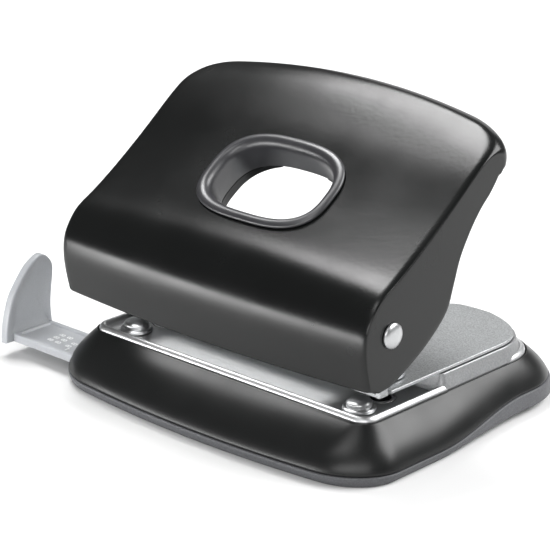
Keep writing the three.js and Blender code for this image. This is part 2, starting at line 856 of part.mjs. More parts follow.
function leverRows() {
  return middleRail.map((point, i) => {
    const turn = smooth(rollStartShare, rollEndShare, i / railSteps);
    return leverRow(point, sideRail[i], edgeRail[i], turn);
  });
}

// Height of the lever's top at a place between the front bend and the rear roll.
function leverTopAt(x, y) {
  const share = frontCrownShare * (x / leverHalf) ** 2;
  const line = middleRail.map((point, i) => point.clone().lerp(sideRail[i], share));
  const next = line.findIndex((point, i) => i > 0 && point.z > pivotZ && line[i - 1].y <= y && point.y > y);
  const along = (y - line[next - 1].y) / (line[next].y - line[next - 1].y);
  return lerp(line[next - 1].z, line[next].z, along);
}

// The finger opening lies along the slope of the lever's top and follows its crown.
const eyeSpanShare = 0.4;
const eyeY = plateFront + eyeBack;
const eyeSpan = eyeLength * eyeSpanShare;
const slopeAngle = Math.atan2(leverTopAt(0, eyeY + eyeSpan) - leverTopAt(0, eyeY - eyeSpan), 2 * eyeSpan);
const eyePowerShare = 2.8;
const eyeSteps = 40;

function eyeRing(by, rise) {
  const points = [];
  const halfX = eyeWidth / 2 - by;
  const halfY = eyeLength / 2 - by;
  for (let i = 0; i < eyeSteps; i += 1) {
    const angle = (i / eyeSteps) * 2 * Math.PI;
    const c = Math.abs(Math.cos(angle)) ** (2 / eyePowerShare) * Math.sign(Math.cos(angle));
    const s = Math.abs(Math.sin(angle)) ** (2 / eyePowerShare) * Math.sign(Math.sin(angle));
    const x = halfX * c;
    const y = eyeY + halfY * s * Math.cos(slopeAngle);
    const lift = rise * Math.cos(slopeAngle);
    points.push(new THREE.Vector3(x, y - rise * Math.sin(slopeAngle), leverTopAt(x, y) + lift));
  }
  return points;
}

function leverHandle() {
  const hole = eyeRim - eyeCollarWall - seat;
  const opening = capped([eyeRing(hole, -eyeLength / 2), eyeRing(hole, eyeLength / 2)]);
  const shell = sheetSolid(leverRows(), leverSheet);
  const bore = pivotRadius + punchClearance;
  return cut(shell, opening, rodAcross(bore, -2 * leverHalf, 2 * leverHalf, pivotY, pivotZ));
}

// The rim's section from its outer edge inwards: shares of its width and of its height.
const rimShares = [[0, 0.25], [0.18, 0.8], [0.45, 1], [0.75, 0.8], [1, 0]];

function gripRing() {
  const wallOut = eyeRim - eyeCollarWall;
  return ringWall([
    eyeRing(wallOut, -eyeCollarDepth),
    eyeRing(wallOut, seat),
    eyeRing(0, seat),
    ...rimShares.map(([by, rise]) => eyeRing(by * eyeRim, lerp(seat, seat + eyeRimRise, rise))),
    eyeRing(eyeRim, -eyeCollarDepth),
  ]);
}

// Yoke: flanges on the pivots and a bar that bears on both punches.
const flangeOuter = earOuter + seat + yokeSheet;
const barUnder = punchTop + seat;

const flangeFrontShares = [0.235, 0.43];
const flangeRearShares = [0.5, 0.62];
const bossStart = 0.8 * Math.PI;
const bossEnd = 1.6 * Math.PI;

function yokeFlangeShape() {
  const place = ([reach, rise]) => [leverFront + reach * leverReach, leverBottom + rise * leverRise];
  const shape = new THREE.Shape();
  shape.moveTo(...place(flangeFrontShares));
  shape.lineTo(pivotY + yokeBossRadius * Math.cos(bossStart), pivotZ + yokeBossRadius * Math.sin(bossStart));
  shape.absarc(pivotY, pivotZ, yokeBossRadius, bossStart, bossEnd);
  shape.lineTo(punchBack + yokeBarWidth / 2, barUnder);
  shape.lineTo(...place(flangeRearShares));
  return shape;
}

function pressYoke() {
  const y0 = punchBack - yokeBarWidth / 2;
  const y1 = punchBack + yokeBarWidth / 2;
  const bar = box(-flangeOuter, flangeOuter, y0, y1, barUnder, barUnder + yokeSheet);
  const lip = box(-flangeOuter, flangeOuter, y0, y0 + yokeSheet, barUnder, barUnder + yokeLip);
  let yoke = joined(bar, lip);
  for (const side of [-1, 1]) {
    const inner = side * (flangeOuter - yokeSheet);
    const outer = side * flangeOuter;
    yoke = yoke.add(sidePlateOf(yokeFlangeShape(), Math.min(inner, outer), Math.max(inner, outer)));
  }
  return cut(yoke, rodAcross(pivotRadius + punchClearance, -leverHalf, leverHalf, pivotY, pivotZ));
}

// Pivots
const leverInner = leverHalf - leverSheet;

const onSide = (solid, side) => (side > 0 ? solid : solid.mirror([1, 0, 0]));

function pivotRivet(side) {
  const headUnder = leverHalf + seat;
  const footTop = earOuter - earSheet - seat;
  const head = [];
  for (let step = 0; step <= domeSteps; step += 1) {
    head.push(domePoint(step, domeSteps + 1, rivetHeadRadius, headUnder, rivetDome));
  }
  const outline = [
    [0, footTop - rivetDome],
    [rivetHeadRadius, footTop - rivetDome],
    [rivetHeadRadius, footTop],
    [pivotRadius, footTop],
    [pivotRadius, headUnder],
    [rivetHeadRadius, headUnder],
    ...head,
    [0, headUnder + rivetDome],
  ];
  return onSide(turnedAcross(outline, pivotY, pivotZ), side);
}

function pivotWasher(side) {
  const bore = pivotRadius + punchClearance;
  const inner = flangeOuter + seat;
  const outer = leverInner - seat;
  const outline = [
    [bore, inner],
    [washerRadius, inner],
    [washerRadius, outer],
    [bore, outer],
    [bore, inner],
  ];
  return onSide(turnedAcross(outline, pivotY, pivotZ), side);
}

// Paper guide: a bar with raised borders and an upright paddle shaped like a fin.
const paddleShares = [
  [0, 0], [0.01, 0.14], [0.05, 0.31], [0.16, 0.56], [0.275, 0.69], [0.39, 0.8], [0.515, 0.9],
  [0.65, 0.965], [0.77, 1], [0.88, 0.965], [0.985, 0.86], [1, 0.75], [0.955, 0.5], [0.935, 0.31],
  [0.955, 0.11],
];

const paddleSteps = 2;

function paddleShape() {
  const y0 = guideY - guideWidth / 2 - paddleLead;
  const z0 = guideTop - guideThick;
  const points = paddleShares.map(([back, rise]) =>
    new THREE.Vector2(y0 + back * paddleWidth, z0 + rise * paddleHeight));
  const shape = new THREE.Shape();
  shape.moveTo(y0 + paddleShares[0][0] * paddleWidth, z0);
  shape.lineTo(points[0].x, points[0].y);
  shape.splineThru(points.slice(1));
  shape.lineTo(y0 + paddleWidth, z0);
  return shape;
}

function paperGuide() {
  const y0 = guideY - guideWidth / 2;
  const y1 = guideY + guideWidth / 2;
  const bar = box(-guideReach, guideLength - guideReach, y0, y1, guideTop - guideThick, guideTop);
  const recess = box(-guideReach + guideBorder, guideLength - guideReach - guideBorder, y0 + guideBorder,
    y1 - guideBorder, guideTop - guideRecess, guideTop + overrun);
  const face = -guideReach + seat;
  const paddle = sidePlateOf(paddleShape(), face - paddleThick, face, paddleSteps);
  return joined(cut(bar, recess), paddle);
}

// The whole punch
function build() {
  const punch = new THREE.Group();
  const place = (name, solid, material) => punch.add(meshOf(name, solid, material));
  place("base_shell", baseShell(), blackPlastic);
  place("chip_tray", chipTray(), greyPlastic);
  place("die_plate", diePlate(), brightPlate);
  place("punch_bracket", punchBracket(), grainedSteel);
  place("press_yoke", pressYoke(), plainSteel);
  place("lever_handle", leverHandle(), blackPaint);
  place("grip_ring", gripRing(), ringPlastic);
  place("paper_guide", paperGuide(), guidePlastic);
  for (const [name, side] of [["left", -1], ["right", 1]]) {
    const x = side * punchX;
    place(`die_bush_${name}`, dieBush(x), plainSteel);
    place(`guide_bush_${name}`, guideBush(x), plainSteel);
    place(`punch_pin_${name}`, punchPin(x), plainSteel);
    place(`spring_collar_${name}`, springCollar(x), plainSteel);
    place(`return_spring_${name}`, returnSpring(x), plainSteel);
    place(`front_rivet_${name}`, frontRivet(side * frontRivetX), brightPlate);
    place(`rear_screw_${name}`, rearScrew(side * rearScrewX), plainSteel);
    place(`pivot_rivet_${name}`, pivotRivet(side), brightPlate);
    place(`pivot_washer_${name}`, pivotWasher(side), plainSteel);
  }
  bracketRivetPlaces().forEach((spot, i) => place(`bracket_rivet_${i + 1}`, bracketRivet(spot), plainSteel));
  return punch;
}

console.log(`least gap between spring turns: ${leastSpringGap().toFixed(2)} mm`);

export default build();
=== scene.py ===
"""Looks of a desk punch for two holes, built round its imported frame.

Sizes in the classes are in millimetres, in the frame's axes: X to the right seen from the
paper side, Y back from the paper side, Z up, with the origin in the middle of the flat bottom.
Meshes are made in metres.
"""

from __future__ import annotations

import json
import logging
import math
from dataclasses import dataclass, field, replace
from enum import Enum
from typing import Iterable, Sequence

import bmesh
import bpy
import numpy as np
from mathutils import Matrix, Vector

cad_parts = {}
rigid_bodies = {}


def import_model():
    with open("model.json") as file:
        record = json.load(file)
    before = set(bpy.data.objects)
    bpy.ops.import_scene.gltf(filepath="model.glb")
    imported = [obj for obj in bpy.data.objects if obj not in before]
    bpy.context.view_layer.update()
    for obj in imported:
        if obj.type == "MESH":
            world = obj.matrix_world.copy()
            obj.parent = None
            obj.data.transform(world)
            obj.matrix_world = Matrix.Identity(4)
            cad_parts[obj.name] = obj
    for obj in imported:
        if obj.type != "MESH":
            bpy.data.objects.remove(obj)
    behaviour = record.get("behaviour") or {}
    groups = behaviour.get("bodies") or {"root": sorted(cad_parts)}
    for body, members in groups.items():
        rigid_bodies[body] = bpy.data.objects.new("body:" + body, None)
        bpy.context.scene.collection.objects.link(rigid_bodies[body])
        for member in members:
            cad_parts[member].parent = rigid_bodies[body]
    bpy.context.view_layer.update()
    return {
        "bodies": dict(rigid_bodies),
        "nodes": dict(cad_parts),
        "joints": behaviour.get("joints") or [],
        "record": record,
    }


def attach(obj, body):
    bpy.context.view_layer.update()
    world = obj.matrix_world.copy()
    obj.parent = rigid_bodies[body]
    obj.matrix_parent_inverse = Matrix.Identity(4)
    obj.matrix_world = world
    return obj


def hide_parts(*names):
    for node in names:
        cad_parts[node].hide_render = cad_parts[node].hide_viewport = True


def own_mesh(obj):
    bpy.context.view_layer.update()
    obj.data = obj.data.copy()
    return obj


Pair = tuple[float, float]
Triple = tuple[float, float, float]
Piece = bpy.types.Object
Socket = bpy.types.NodeSocket

LOG = logging.getLogger("punch")
MM = 0.001
HALF_TURN = math.pi
QUARTER_TURN = math.pi / 2
FULL_TURN = 2 * math.pi
CUT_REACH = 60.0
CUT_OVERRUN = 1.0
TINY = 1e-9


class Side(Enum):
    """The two sides of the punch; the value is the sign of X."""

    LEFT = -1
    RIGHT = 1

    @property
    def word(self) -> str:
        """The side's word in the names of nodes."""
        return self.name.lower()


class Axis(Enum):
    """The line that a turned piece is turned about."""

    ACROSS = "x"
    UP = "z"


# shared sizes


@dataclass(frozen=True)
class Layout:
    """Sizes in millimetres that several pieces share."""

    base_width: float = 119.0
    base_depth: float = 103.4
    base_height: float = 14.5
    front_flank: float = 14.3
    rear_flank: float = 14.0
    side_flank: float = 8.2
    seat: float = 0.3
    throat_depth: float = 30.5
    hole_spacing: float = 80.0
    hole_margin: float = 12.0
    floor_drop: float = 0.9
    plate_sheet: float = 1.0
    platform_height: float = 4.3
    bracket_sheet: float = 1.0
    ear_outset: float = 9.5
    ear_sheet: float = 1.5
    lever_side_room: float = 6.1
    lever_sheet: float = 1.2
    lever_reach: float = 68.0
    lever_rise: float = 62.5
    lever_skirt_height: float = 9.3
    skirt_overhang: float = 7.6
    pivot_back: float = 4.0
    pivot_height: float = 24.6
    pivot_radius: float = 2.6
    punch_top_height: float = 29.0
    yoke_sheet: float = 1.6
    bore_room: float = 0.12
    shell_wall: float = 2.0
    guide_width: float = 15.0
    guide_thick: float = 2.5
    guide_back: float = 3.0
    guide_drop: float = 8.3
    lug_depth: float = 4.0
    front_fixing_back: float = 8.2


LAYOUT = Layout()
PLATE_TOP = LAYOUT.base_height  # height of the plate's edge
PLATE_FRONT = -LAYOUT.base_depth / 2 + LAYOUT.front_flank  # Y of the plate's front edge
PLATE_REAR = LAYOUT.base_depth / 2 - LAYOUT.rear_flank  # Y of the plate's rear edge
PLATE_HALF = LAYOUT.base_width / 2 - LAYOUT.side_flank - LAYOUT.seat  # half of the plate's width
FLOOR_TOP = PLATE_TOP - LAYOUT.floor_drop  # height of the plate's floor
FLOOR_UNDER = FLOOR_TOP - LAYOUT.plate_sheet  # height of the underside of the plate's floor
LEDGE_TOP = FLOOR_UNDER - LAYOUT.seat  # height of the ledge that carries the plate
STOP_BACK = PLATE_FRONT + LAYOUT.throat_depth  # Y of the step that the paper stops at
PUNCH_BACK = STOP_BACK - LAYOUT.hole_margin  # Y of the punches
PUNCH_X = LAYOUT.hole_spacing / 2  # X of the right punch
PLATFORM_TOP = PLATE_TOP + LAYOUT.platform_height  # height of the rear platform
BRACKET_UNDER = PLATFORM_TOP + LAYOUT.seat  # height of the underside of the bracket's floor
BRACKET_TOP = BRACKET_UNDER + LAYOUT.bracket_sheet  # height of the bracket's floor
EAR_OUTER = PUNCH_X + LAYOUT.ear_outset  # X of the outer face of the right ear
LEVER_HALF = EAR_OUTER + LAYOUT.lever_side_room  # half of the lever's width
LEVER_FRONT = PLATE_FRONT - LAYOUT.skirt_overhang  # Y of the lever's front
LEVER_BOTTOM = PLATE_TOP + LAYOUT.lever_skirt_height  # height of the lever's lowest line
PIVOT_Y = PLATE_FRONT + LAYOUT.pivot_back  # Y of the lever's pivot
PIVOT_Z = PLATE_TOP + LAYOUT.pivot_height  # height of the lever's pivot
PUNCH_TOP = PLATE_TOP + LAYOUT.punch_top_height  # height of the punches' tops
FLANGE_OUTER = EAR_OUTER + LAYOUT.seat + LAYOUT.yoke_sheet  # X of the outer face of the yoke's right flange
GUIDE_MIDDLE = PLATE_FRONT + LAYOUT.guide_back  # Y of the middle of the paper guide's bar
GUIDE_TOP = PLATE_TOP - LAYOUT.guide_drop  # height of the top of the paper guide's bar
PIVOT_BORE = LAYOUT.pivot_radius + LAYOUT.bore_room  # radius of the holes that the pivot rivets pass through
PIVOT_PLACE = (0.0, PIVOT_Y, PIVOT_Z)  # the middle of the lever's pivot


def lerp(start: float, end: float, share: float) -> float:
    """Returns the value a share of the way from start to end."""
    return start + (end - start) * share


def quarter(steps: int) -> list[float]:
    """Returns the angles of a quarter turn in equal steps, both ends included."""
    return [QUARTER_TURN * step / steps for step in range(steps + 1)]


def smooth(start: float, end: float, value: np.ndarray | float) -> np.ndarray | float:
    """Climbs smoothly from 0 at start to 1 at end."""
    share = np.clip((value - start) / (end - start), 0.0, 1.0)
    return share * share * (3 - 2 * share)


# plan outlines


def outline_stations(corner_steps: int = 20, end_steps: int = 36, side_steps: int = 40) -> np.ndarray:
    """Lists the places round a rounded oblong, anticlockwise from its right rear corner.

    Args:
        corner_steps: Steps round each corner.
        end_steps: Steps along the front and the rear.
        side_steps: Steps along each side.

    Returns:
        Rows of (corner, next corner, angle, share of the way between the two).
    """
    rows = []
    for corner, steps in enumerate((end_steps, side_steps, end_steps, side_steps)):
        start = corner * QUARTER_TURN
        for i in range(corner_steps + 1):
            rows.append((corner, corner, start + QUARTER_TURN * i / corner_steps, 0.0))
        for i in range(1, steps):
            rows.append((corner, (corner + 1) % 4, start + QUARTER_TURN, i / steps))
    return np.array(rows)


STATIONS = outline_stations()
CORNER_SIGNS = np.array([1.0, -1.0, -1.0, 1.0])


@dataclass(frozen=True)
class Outline:
    """A rounded oblong with bowed ends whose sides draw in towards the rear.

    A field is a number, or an array with one number for each station.
    """

    half: float
    front: float
    rear: float
    front_radius: float
    rear_radius: float
    front_bow: float = 0.0
    rear_bow: float = 0.0
    draw: float = 0.0
    waist_front: float = -17.0
    waist_rear: float = 23.0

    def inset(self, by: float) -> Outline:
        """Moves the outline inwards.

        Args:
            by: The distance; a negative one moves it outwards.

        Returns:
            The moved outline.
        """
        return replace(
            self,
            half=self.half - by,
            front=self.front + by,
            rear=self.rear - by,
            front_radius=np.maximum(self.front_radius - by, LAYOUT.seat),
            rear_radius=np.maximum(self.rear_radius - by, LAYOUT.seat),
        )

    def blended(self, other: Outline, share: np.ndarray | float) -> Outline:
        """Returns the outline a share of the way to another one."""
        names = ("half", "front", "rear", "front_radius", "rear_radius", "front_bow", "rear_bow", "draw")
        return replace(self, **{n: lerp(getattr(self, n), getattr(other, n), share) for n in names})

    def _on_corner(self, corner: np.ndarray) -> tuple[np.ndarray, np.ndarray]:
        """Finds the place on a corner's arc at each station's angle.

        Args:
            corner: The number of the corner for each station.

        Returns:
            The places' x and y.
        """
        rearward = corner < 2
        radius = np.where(rearward, self.rear_radius, self.front_radius)
        x = CORNER_SIGNS[corner] * (self.half - radius) + radius * np.cos(STATIONS[:, 2])
        middle = np.where(rearward, self.rear - radius, self.front + radius)
        return x, middle + radius * np.sin(STATIONS[:, 2])

    def points(self) -> np.ndarray:
        """Places the outline's points.

        Returns:
            The points as an array of (x, y).
        """
        x0, y0 = self._on_corner(STATIONS[:, 0].astype(int))
        x1, y1 = self._on_corner(STATIONS[:, 1].astype(int))
        share = STATIONS[:, 3]
        x, y = lerp(x0, x1, share), lerp(y0, y1, share)
        rear_bow = self.rear_bow * (y / self.rear) ** 3
        front_bow = -self.front_bow * (y / self.front) ** 3
        bow = np.where(y > 0, rear_bow, front_bow)
        narrowing = 1 - self.draw * smooth(self.waist_front, self.waist_rear, y)
        return np.stack([x * narrowing, y - bow * (x / self.half) ** 2], axis=1)

    def ring(self, height: np.ndarray | float) -> np.ndarray:
        """Returns the outline's points at a height, as an array of (x, y, z)."""
        points = self.points()
        return np.column_stack([points, np.broadcast_to(height, len(points))])


PLATE_OUTLINE = Outline(PLATE_HALF, PLATE_FRONT, PLATE_REAR, 4.8, 13.9)
POCKET_OUTLINE = PLATE_OUTLINE.inset(-LAYOUT.seat)
WIDEST_OUTLINE = Outline(
    LAYOUT.base_width / 2, -LAYOUT.base_depth / 2, LAYOUT.base_depth / 2, 17.0, 24.0, 4.9, 5.0, 0.045
)
FOOT_OUTLINE = replace(WIDEST_OUTLINE, half=58.0, front=-50.6, rear=48.6, front_radius=14.0, draw=0.08)
WIDEST_HEIGHT = 2.6
PARTING_HEIGHT = 3.3
PARTING_RISE = 3.4
FLANK_POWER = 1.75


def flank_share(height: np.ndarray | float) -> np.ndarray | float:
    """Finds how far out the flank has swept at a height."""
    climb = (height - WIDEST_HEIGHT) / (PLATE_TOP - WIDEST_HEIGHT)
    return 1 - np.clip(climb, 0.0, 1.0) ** FLANK_POWER


def parting_heights() -> np.ndarray:
    """Finds the line between shell and tray, which climbs to the rear.

    Returns:
        The line's height at each station.
    """
    widest = WIDEST_OUTLINE
    y = widest.points()[:, 1]
    return PARTING_HEIGHT + PARTING_RISE * smooth(widest.waist_front, widest.waist_rear, y)


# drafts


WELD_DISTANCE = 1e-7
BOOLEAN_TOOL = "tool"


class Draft:
    """The points and faces of one piece, gathered in millimetres."""

    def __init__(self) -> None:
        """Starts an empty draft."""
        self.points: list[Sequence[float]] = []
        self.faces: list[tuple[int, ...]] = []

    def add_points(self, points: Iterable[Sequence[float]]) -> list[int]:
        """Adds points.

        Args:
            points: The points' coordinates in millimetres.

        Returns:
            The new points' numbers.
        """
        start = len(self.points)
        self.points.extend(tuple(float(value) for value in point) for point in points)
        return list(range(start, len(self.points)))

    def strip(self, lower: Sequence[int], upper: Sequence[int], closed: bool = True) -> None:
        """Adds a row of four-sided faces between two rows of points.

        Args:
            lower: The numbers of the first row's points.
            upper: The numbers of the second row's points.
            closed: Whether the row runs all round.
        """
        count = len(lower)
        for i in range(count if closed else count - 1):
            k = (i + 1) % count
            self.faces.append((lower[i], lower[k], upper[k], upper[i]))

    def cap(self, ring: Sequence[int]) -> None:
        """Adds one flat face on a ring of points."""
        self.faces.append(tuple(ring))

    def loft(self, rings: Sequence[np.ndarray], closed: bool = False, caps: bool = True) -> None:
        """Adds a skin through rings of equally many points.

        Args:
            rings: The rings in order.
            closed: Whether the last ring joins the first one.
            caps: Whether the two ends of an open skin are closed with flat faces.
        """
        rows = [self.add_points(ring) for ring in rings]
        for lower, upper in zip(rows, rows[1:]):
            self.strip(lower, upper)
        if closed:
            self.strip(rows[-1], rows[0])
        elif caps:
            self.cap(rows[0][::-1])
            self.cap(rows[-1])

    def box(self, low: Sequence[float], high: Sequence[float]) -> None:
        """Adds a plain block.

        Args:
            low: Its lowest corner.
            high: Its highest corner.
        """
        xs, ys = (low[0], high[0]), (low[1], high[1])
        square = [(xs[0], ys[0]), (xs[1], ys[0]), (xs[1], ys[1]), (xs[0], ys[1])]
        self.loft([np.array([(x, y, z) for x, y in square]) for z in (low[2], high[2])])

    def make(self, name: str, sharp: float = 38.0) -> Piece:
        """Makes the Blender object.

        Args:
            name: The piece's name.
            sharp: The angle in degrees above which an edge is drawn sharp.

        Returns:
            The new object, in metres.
        """
        mesh = bpy.data.meshes.new(name)
        mesh.from_pydata([tuple(value * MM for value in point) for point in self.points], [], self.faces)
        body = bmesh.new()
        body.from_mesh(mesh)
        bmesh.ops.remove_doubles(body, verts=body.verts, dist=WELD_DISTANCE)
        bmesh.ops.dissolve_degenerate(body, edges=body.edges, dist=WELD_DISTANCE)
        bmesh.ops.recalc_face_normals(body, faces=body.faces)
        body.to_mesh(mesh)
        body.free()
        smooth_shaded(mesh, sharp)
        made = bpy.data.objects.new(name, mesh)
        bpy.context.scene.collection.objects.link(made)
        return made


def smooth_shaded(mesh: bpy.types.Mesh, sharp: float) -> None:
    """Shades a mesh smooth.

    Args:
        mesh: The mesh.
        sharp: The angle in degrees above which an edge stays sharp.
    """
    mesh.polygons.foreach_set("use_smooth", [True] * len(mesh.polygons))
    mesh.set_sharp_from_angle(angle=math.radians(sharp))
    mesh.update()


def with_modifier(made: Piece, kind: str, **settings: object) -> None:
    """Applies one modifier to an object's mesh.

    Args:
        made: The object.
        kind: Blender's name of the modifier's type.
        **settings: The modifier's values.
    """
    modifier = made.modifiers.new(kind.lower(), kind)
    for key, value in settings.items():
        setattr(modifier, key, value)
    graph = bpy.context.evaluated_depsgraph_get()
    mesh = bpy.data.meshes.new_from_object(made.evaluated_get(graph))
    made.modifiers.clear()
    old = made.data
    made.data = mesh
    bpy.data.meshes.remove(old)


def carve(made: Piece, drafts: Sequence[Draft], union: bool = False, sharp: float = 38.0) -> None:
    """Cuts drafts out of an object, or joins them to it.

    Args:
        made: The object.
        drafts: The closed bodies to cut or join.
        union: Whether they are joined and not cut.
        sharp: The angle in degrees above which an edge is drawn sharp.
    """
    for draft in drafts:
        tool = draft.make(BOOLEAN_TOOL)
        operation = "UNION" if union else "DIFFERENCE"
        with_modifier(made, "BOOLEAN", operation=operation, object=tool, solver="EXACT")
        mesh = tool.data
        bpy.data.objects.remove(tool)
        bpy.data.meshes.remove(mesh)
    smooth_shaded(made.data, sharp)


def rounded_path(corners: Sequence[Triple], steps: int = 4) -> list[Pair]:
    """Rounds the corners of an open path.

    Args:
        corners: Rows of (x, y, radius); a radius of 0 keeps the corner.
        steps: Steps round each corner.

    Returns:
        The path's points.
    """
    made: list[Pair] = []
    for i, (x, y, radius) in enumerate(corners):
        if radius <= 0 or i in (0, len(corners) - 1):
            made.append((x, y))
            continue
        here = Vector((x, y))
        before = Vector(corners[i - 1][:2]) - here
        after = Vector(corners[i + 1][:2]) - here
        angle = before.angle(after)
        reach = min(radius / math.tan(angle / 2), before.length / 2, after.length / 2)
        true_radius = reach * math.tan(angle / 2)
        start = here + before.normalized() * reach
        inward = (before.normalized() + after.normalized()).normalized()
        middle = here + inward * math.hypot(reach, true_radius)
        first = start - middle
        turn = first.angle_signed(here + after.normalized() * reach - middle)
        for step in range(steps + 1):
            swing = -turn * step / steps
            arm = Vector((
                first.x * math.cos(swing) - first.y * math.sin(swing),
                first.x * math.sin(swing) + first.y * math.cos(swing),
            ))
            made.append(tuple(middle + arm))
    return made


def turned_draft(
    corners: Sequence[Triple],
    axis: Axis = Axis.UP,
    place: Triple = (0.0, 0.0, 0.0),
    steps: int = 72,
    bored: bool = False,
    mirror: bool = False,
) -> Draft:
    """Makes a turned body from its half section.

    Args:
        corners: Rows of (radius, place along the axis, corner radius).
        axis: The line that it is turned about.
        place: A point on that line.
        steps: Steps round the axis.
        bored: Whether the section is a closed loop clear of the axis.
        mirror: Whether the places along the axis are turned about.

    Returns:
        The draft.
    """
    section = rounded_path(corners)
    angles = np.arange(steps) / steps * FULL_TURN
    sign = -1.0 if mirror else 1.0
    rings = []
    for radius, along in section:
        across, back = radius * np.cos(angles), radius * np.sin(angles)
        level = np.full(steps, sign * along)
        ring = (across, back, level) if axis is Axis.UP else (level, across, back)
        rings.append(np.stack(ring, axis=1) + np.array(place))
    draft = Draft()
    draft.loft(rings, closed=bored, caps=False)
    return draft


def offset_loop(points: np.ndarray, by: float) -> np.ndarray:
    """Moves a closed anticlockwise loop inwards.

    Args:
        points: The loop's points as (x, y).
        by: The distance, small against the loop's bends.

    Returns:
        The moved points.
    """
    ahead, behind = np.roll(points, -1, axis=0), np.roll(points, 1, axis=0)
    edges = [ahead - points, points - behind]
    normals = [np.stack([-edge[:, 1], edge[:, 0]], axis=1) for edge in edges]
    normals = [n / np.maximum(np.linalg.norm(n, axis=1, keepdims=True), TINY) for n in normals]
    middle = normals[0] + normals[1]
    middle /= np.maximum(np.linalg.norm(middle, axis=1, keepdims=True), TINY)
    sharpest_corner = 0.5
    stretch = 1 / np.maximum((middle * normals[0]).sum(axis=1, keepdims=True), sharpest_corner)
    return points + middle * by * stretch


def dome_corners(radius: float, base: float, rise: float, edge_share: float, steps: int) -> list[Triple]:
    """Draws the half section of a dome.

    Args:
        radius: The dome's radius.
        base: The height of its foot.
        rise: Its height over the foot.
        edge_share: The share of the rise that its edge stands up straight.
        steps: Steps from its edge to its middle.

    Returns:
        Rows of (radius, place along the axis, corner radius).
    """
    return [
        (radius * math.cos(turn), base + rise * lerp(edge_share, 1.0, math.sin(turn)), 0.0)
        for turn in quarter(steps)
    ]


def drill(radius: float, low: float, high: float, place: Triple, axis: Axis = Axis.UP) -> Draft:
    """Makes the round body that bores a hole."""
    corners = [(0, low, 0), (radius, low, 0), (radius, high, 0), (0, high, 0)]
    return turned_draft(corners, axis, place)


def pivot_hole() -> Draft:
    """Makes the round body that bores both holes of the lever's pivot."""
    return drill(PIVOT_BORE, -CUT_REACH, CUT_REACH, PIVOT_PLACE, Axis.ACROSS)


def plate_draft(
    loop: np.ndarray, low: float, high: float, edge: float, axis: Axis = Axis.UP, steps: int = 3
) -> Draft:
    """Makes a flat plate with rounded edges.

    Args:
        loop: The plate's outline, anticlockwise, in (x, y), or in (y, z) for a plate across X.
        low: The place of its lower face along the axis.
        high: The place of its upper face along the axis.
        edge: The radius of its edges.
        axis: The line that stands square to the plate.
        steps: Steps round each edge.

    Returns:
        The draft.
    """
    rings = []
    for end, sign in ((low, 1.0), (high, -1.0)):
        for turn in quarter(steps) if sign > 0 else reversed(quarter(steps)):
            flat = offset_loop(loop, edge * (1 - math.sin(turn)))
            level = end + sign * edge * (1 - math.cos(turn))
            columns = (flat, np.full(len(flat), level))
            rings.append(np.column_stack(columns if axis is Axis.UP else columns[::-1]))
    draft = Draft()
    draft.loft(rings)
    return draft


def rounded_rectangle(low: Pair, high: Pair, radius: float, steps: int = 6) -> np.ndarray:
    """Draws a rectangle with rounded corners.

    Args:
        low: Its lowest corner.
        high: Its highest corner.
        radius: The radius of its corners.
        steps: Steps round each corner.

    Returns:
        The anticlockwise loop's points.
    """
    points = []
    places = (
        (high[0] - radius, high[1] - radius), (low[0] + radius, high[1] - radius),
        (low[0] + radius, low[1] + radius), (high[0] - radius, low[1] + radius),
    )
    for quarter, (x, y) in enumerate(places):
        for step in range(steps + 1):
            angle = (quarter + step / steps) * QUARTER_TURN
            points.append((x + radius * math.cos(angle), y + radius * math.sin(angle)))
    return np.array(points)


def quadratic(start: Pair, bend: Pair, end: Pair, steps: int = 24) -> list[tuple[float, ...]]:
    """Samples a quadratic curve.

    Args:
        start: Where it starts.
        bend: The point that it bends towards.
        end: Where it ends.
        steps: How many steps it is sampled in.

    Returns:
        The curve's points without its first one.
    """
    made = []
    for step in range(1, steps + 1):
        t = step / steps
        triples = zip(start, bend, end)
        made.append(tuple((1 - t) ** 2 * s + 2 * t * (1 - t) * b + t * t * e for s, b, e in triples))
    return made


def rail_curve(knots: np.ndarray, samples: int) -> np.ndarray:
    """Samples a centripetal curve through knots.

    Args:
        knots: The points it passes through, as (y, z).
        samples: How many steps it is sampled in.

    Returns:
        The sampled points.
    """
    last = len(knots) - 1
    made = []
    for i in range(samples + 1):
        place = last * i / samples
        k = min(int(place), last - 1)
        t = place - k
        p1, p2 = knots[k], knots[k + 1]
        p0 = knots[k - 1] if k > 0 else 2 * p1 - p2
        p3 = knots[k + 2] if k + 2 <= last else 2 * p2 - p1
        spans = [max(float(np.hypot(*(b - a))) ** 0.5, 1e-4) for a, b in ((p0, p1), (p1, p2), (p2, p3))]
        d0, d1, d2 = spans
        t1 = ((p1 - p0) / d0 - (p2 - p0) / (d0 + d1) + (p2 - p1) / d1) * d1
        t2 = ((p2 - p1) / d1 - (p3 - p1) / (d1 + d2) + (p3 - p2) / d2) * d1
        square = -3 * p1 + 3 * p2 - 2 * t1 - t2
        cube = 2 * p1 - 2 * p2 + t1 + t2
        made.append(p1 + t1 * t + square * t * t + cube * t**3)
    return np.array(made)


def softened(line: np.ndarray, sigma: float) -> np.ndarray:
    """Smooths a sampled line and keeps its ends.

    Args:
        line: The line's points.
        sigma: The width of the smoothing bell in samples.

    Returns:
        The smoothed points.
    """
    reach = int(4 * sigma)
    weights = np.exp(-0.5 * (np.arange(-reach, reach + 1) / sigma) ** 2)
    weights /= weights.sum()
    before = 2 * line[0] - line[reach:0:-1]
    after = 2 * line[-1] - line[-2:-reach - 2:-1]
    padded = np.concatenate([before, line, after])
    return np.stack([np.convolve(padded[:, k], weights, "valid") for k in range(line.shape[1])], axis=1)


# finishes


NOISE_LOW = 0.3
NOISE_HIGH = 0.7


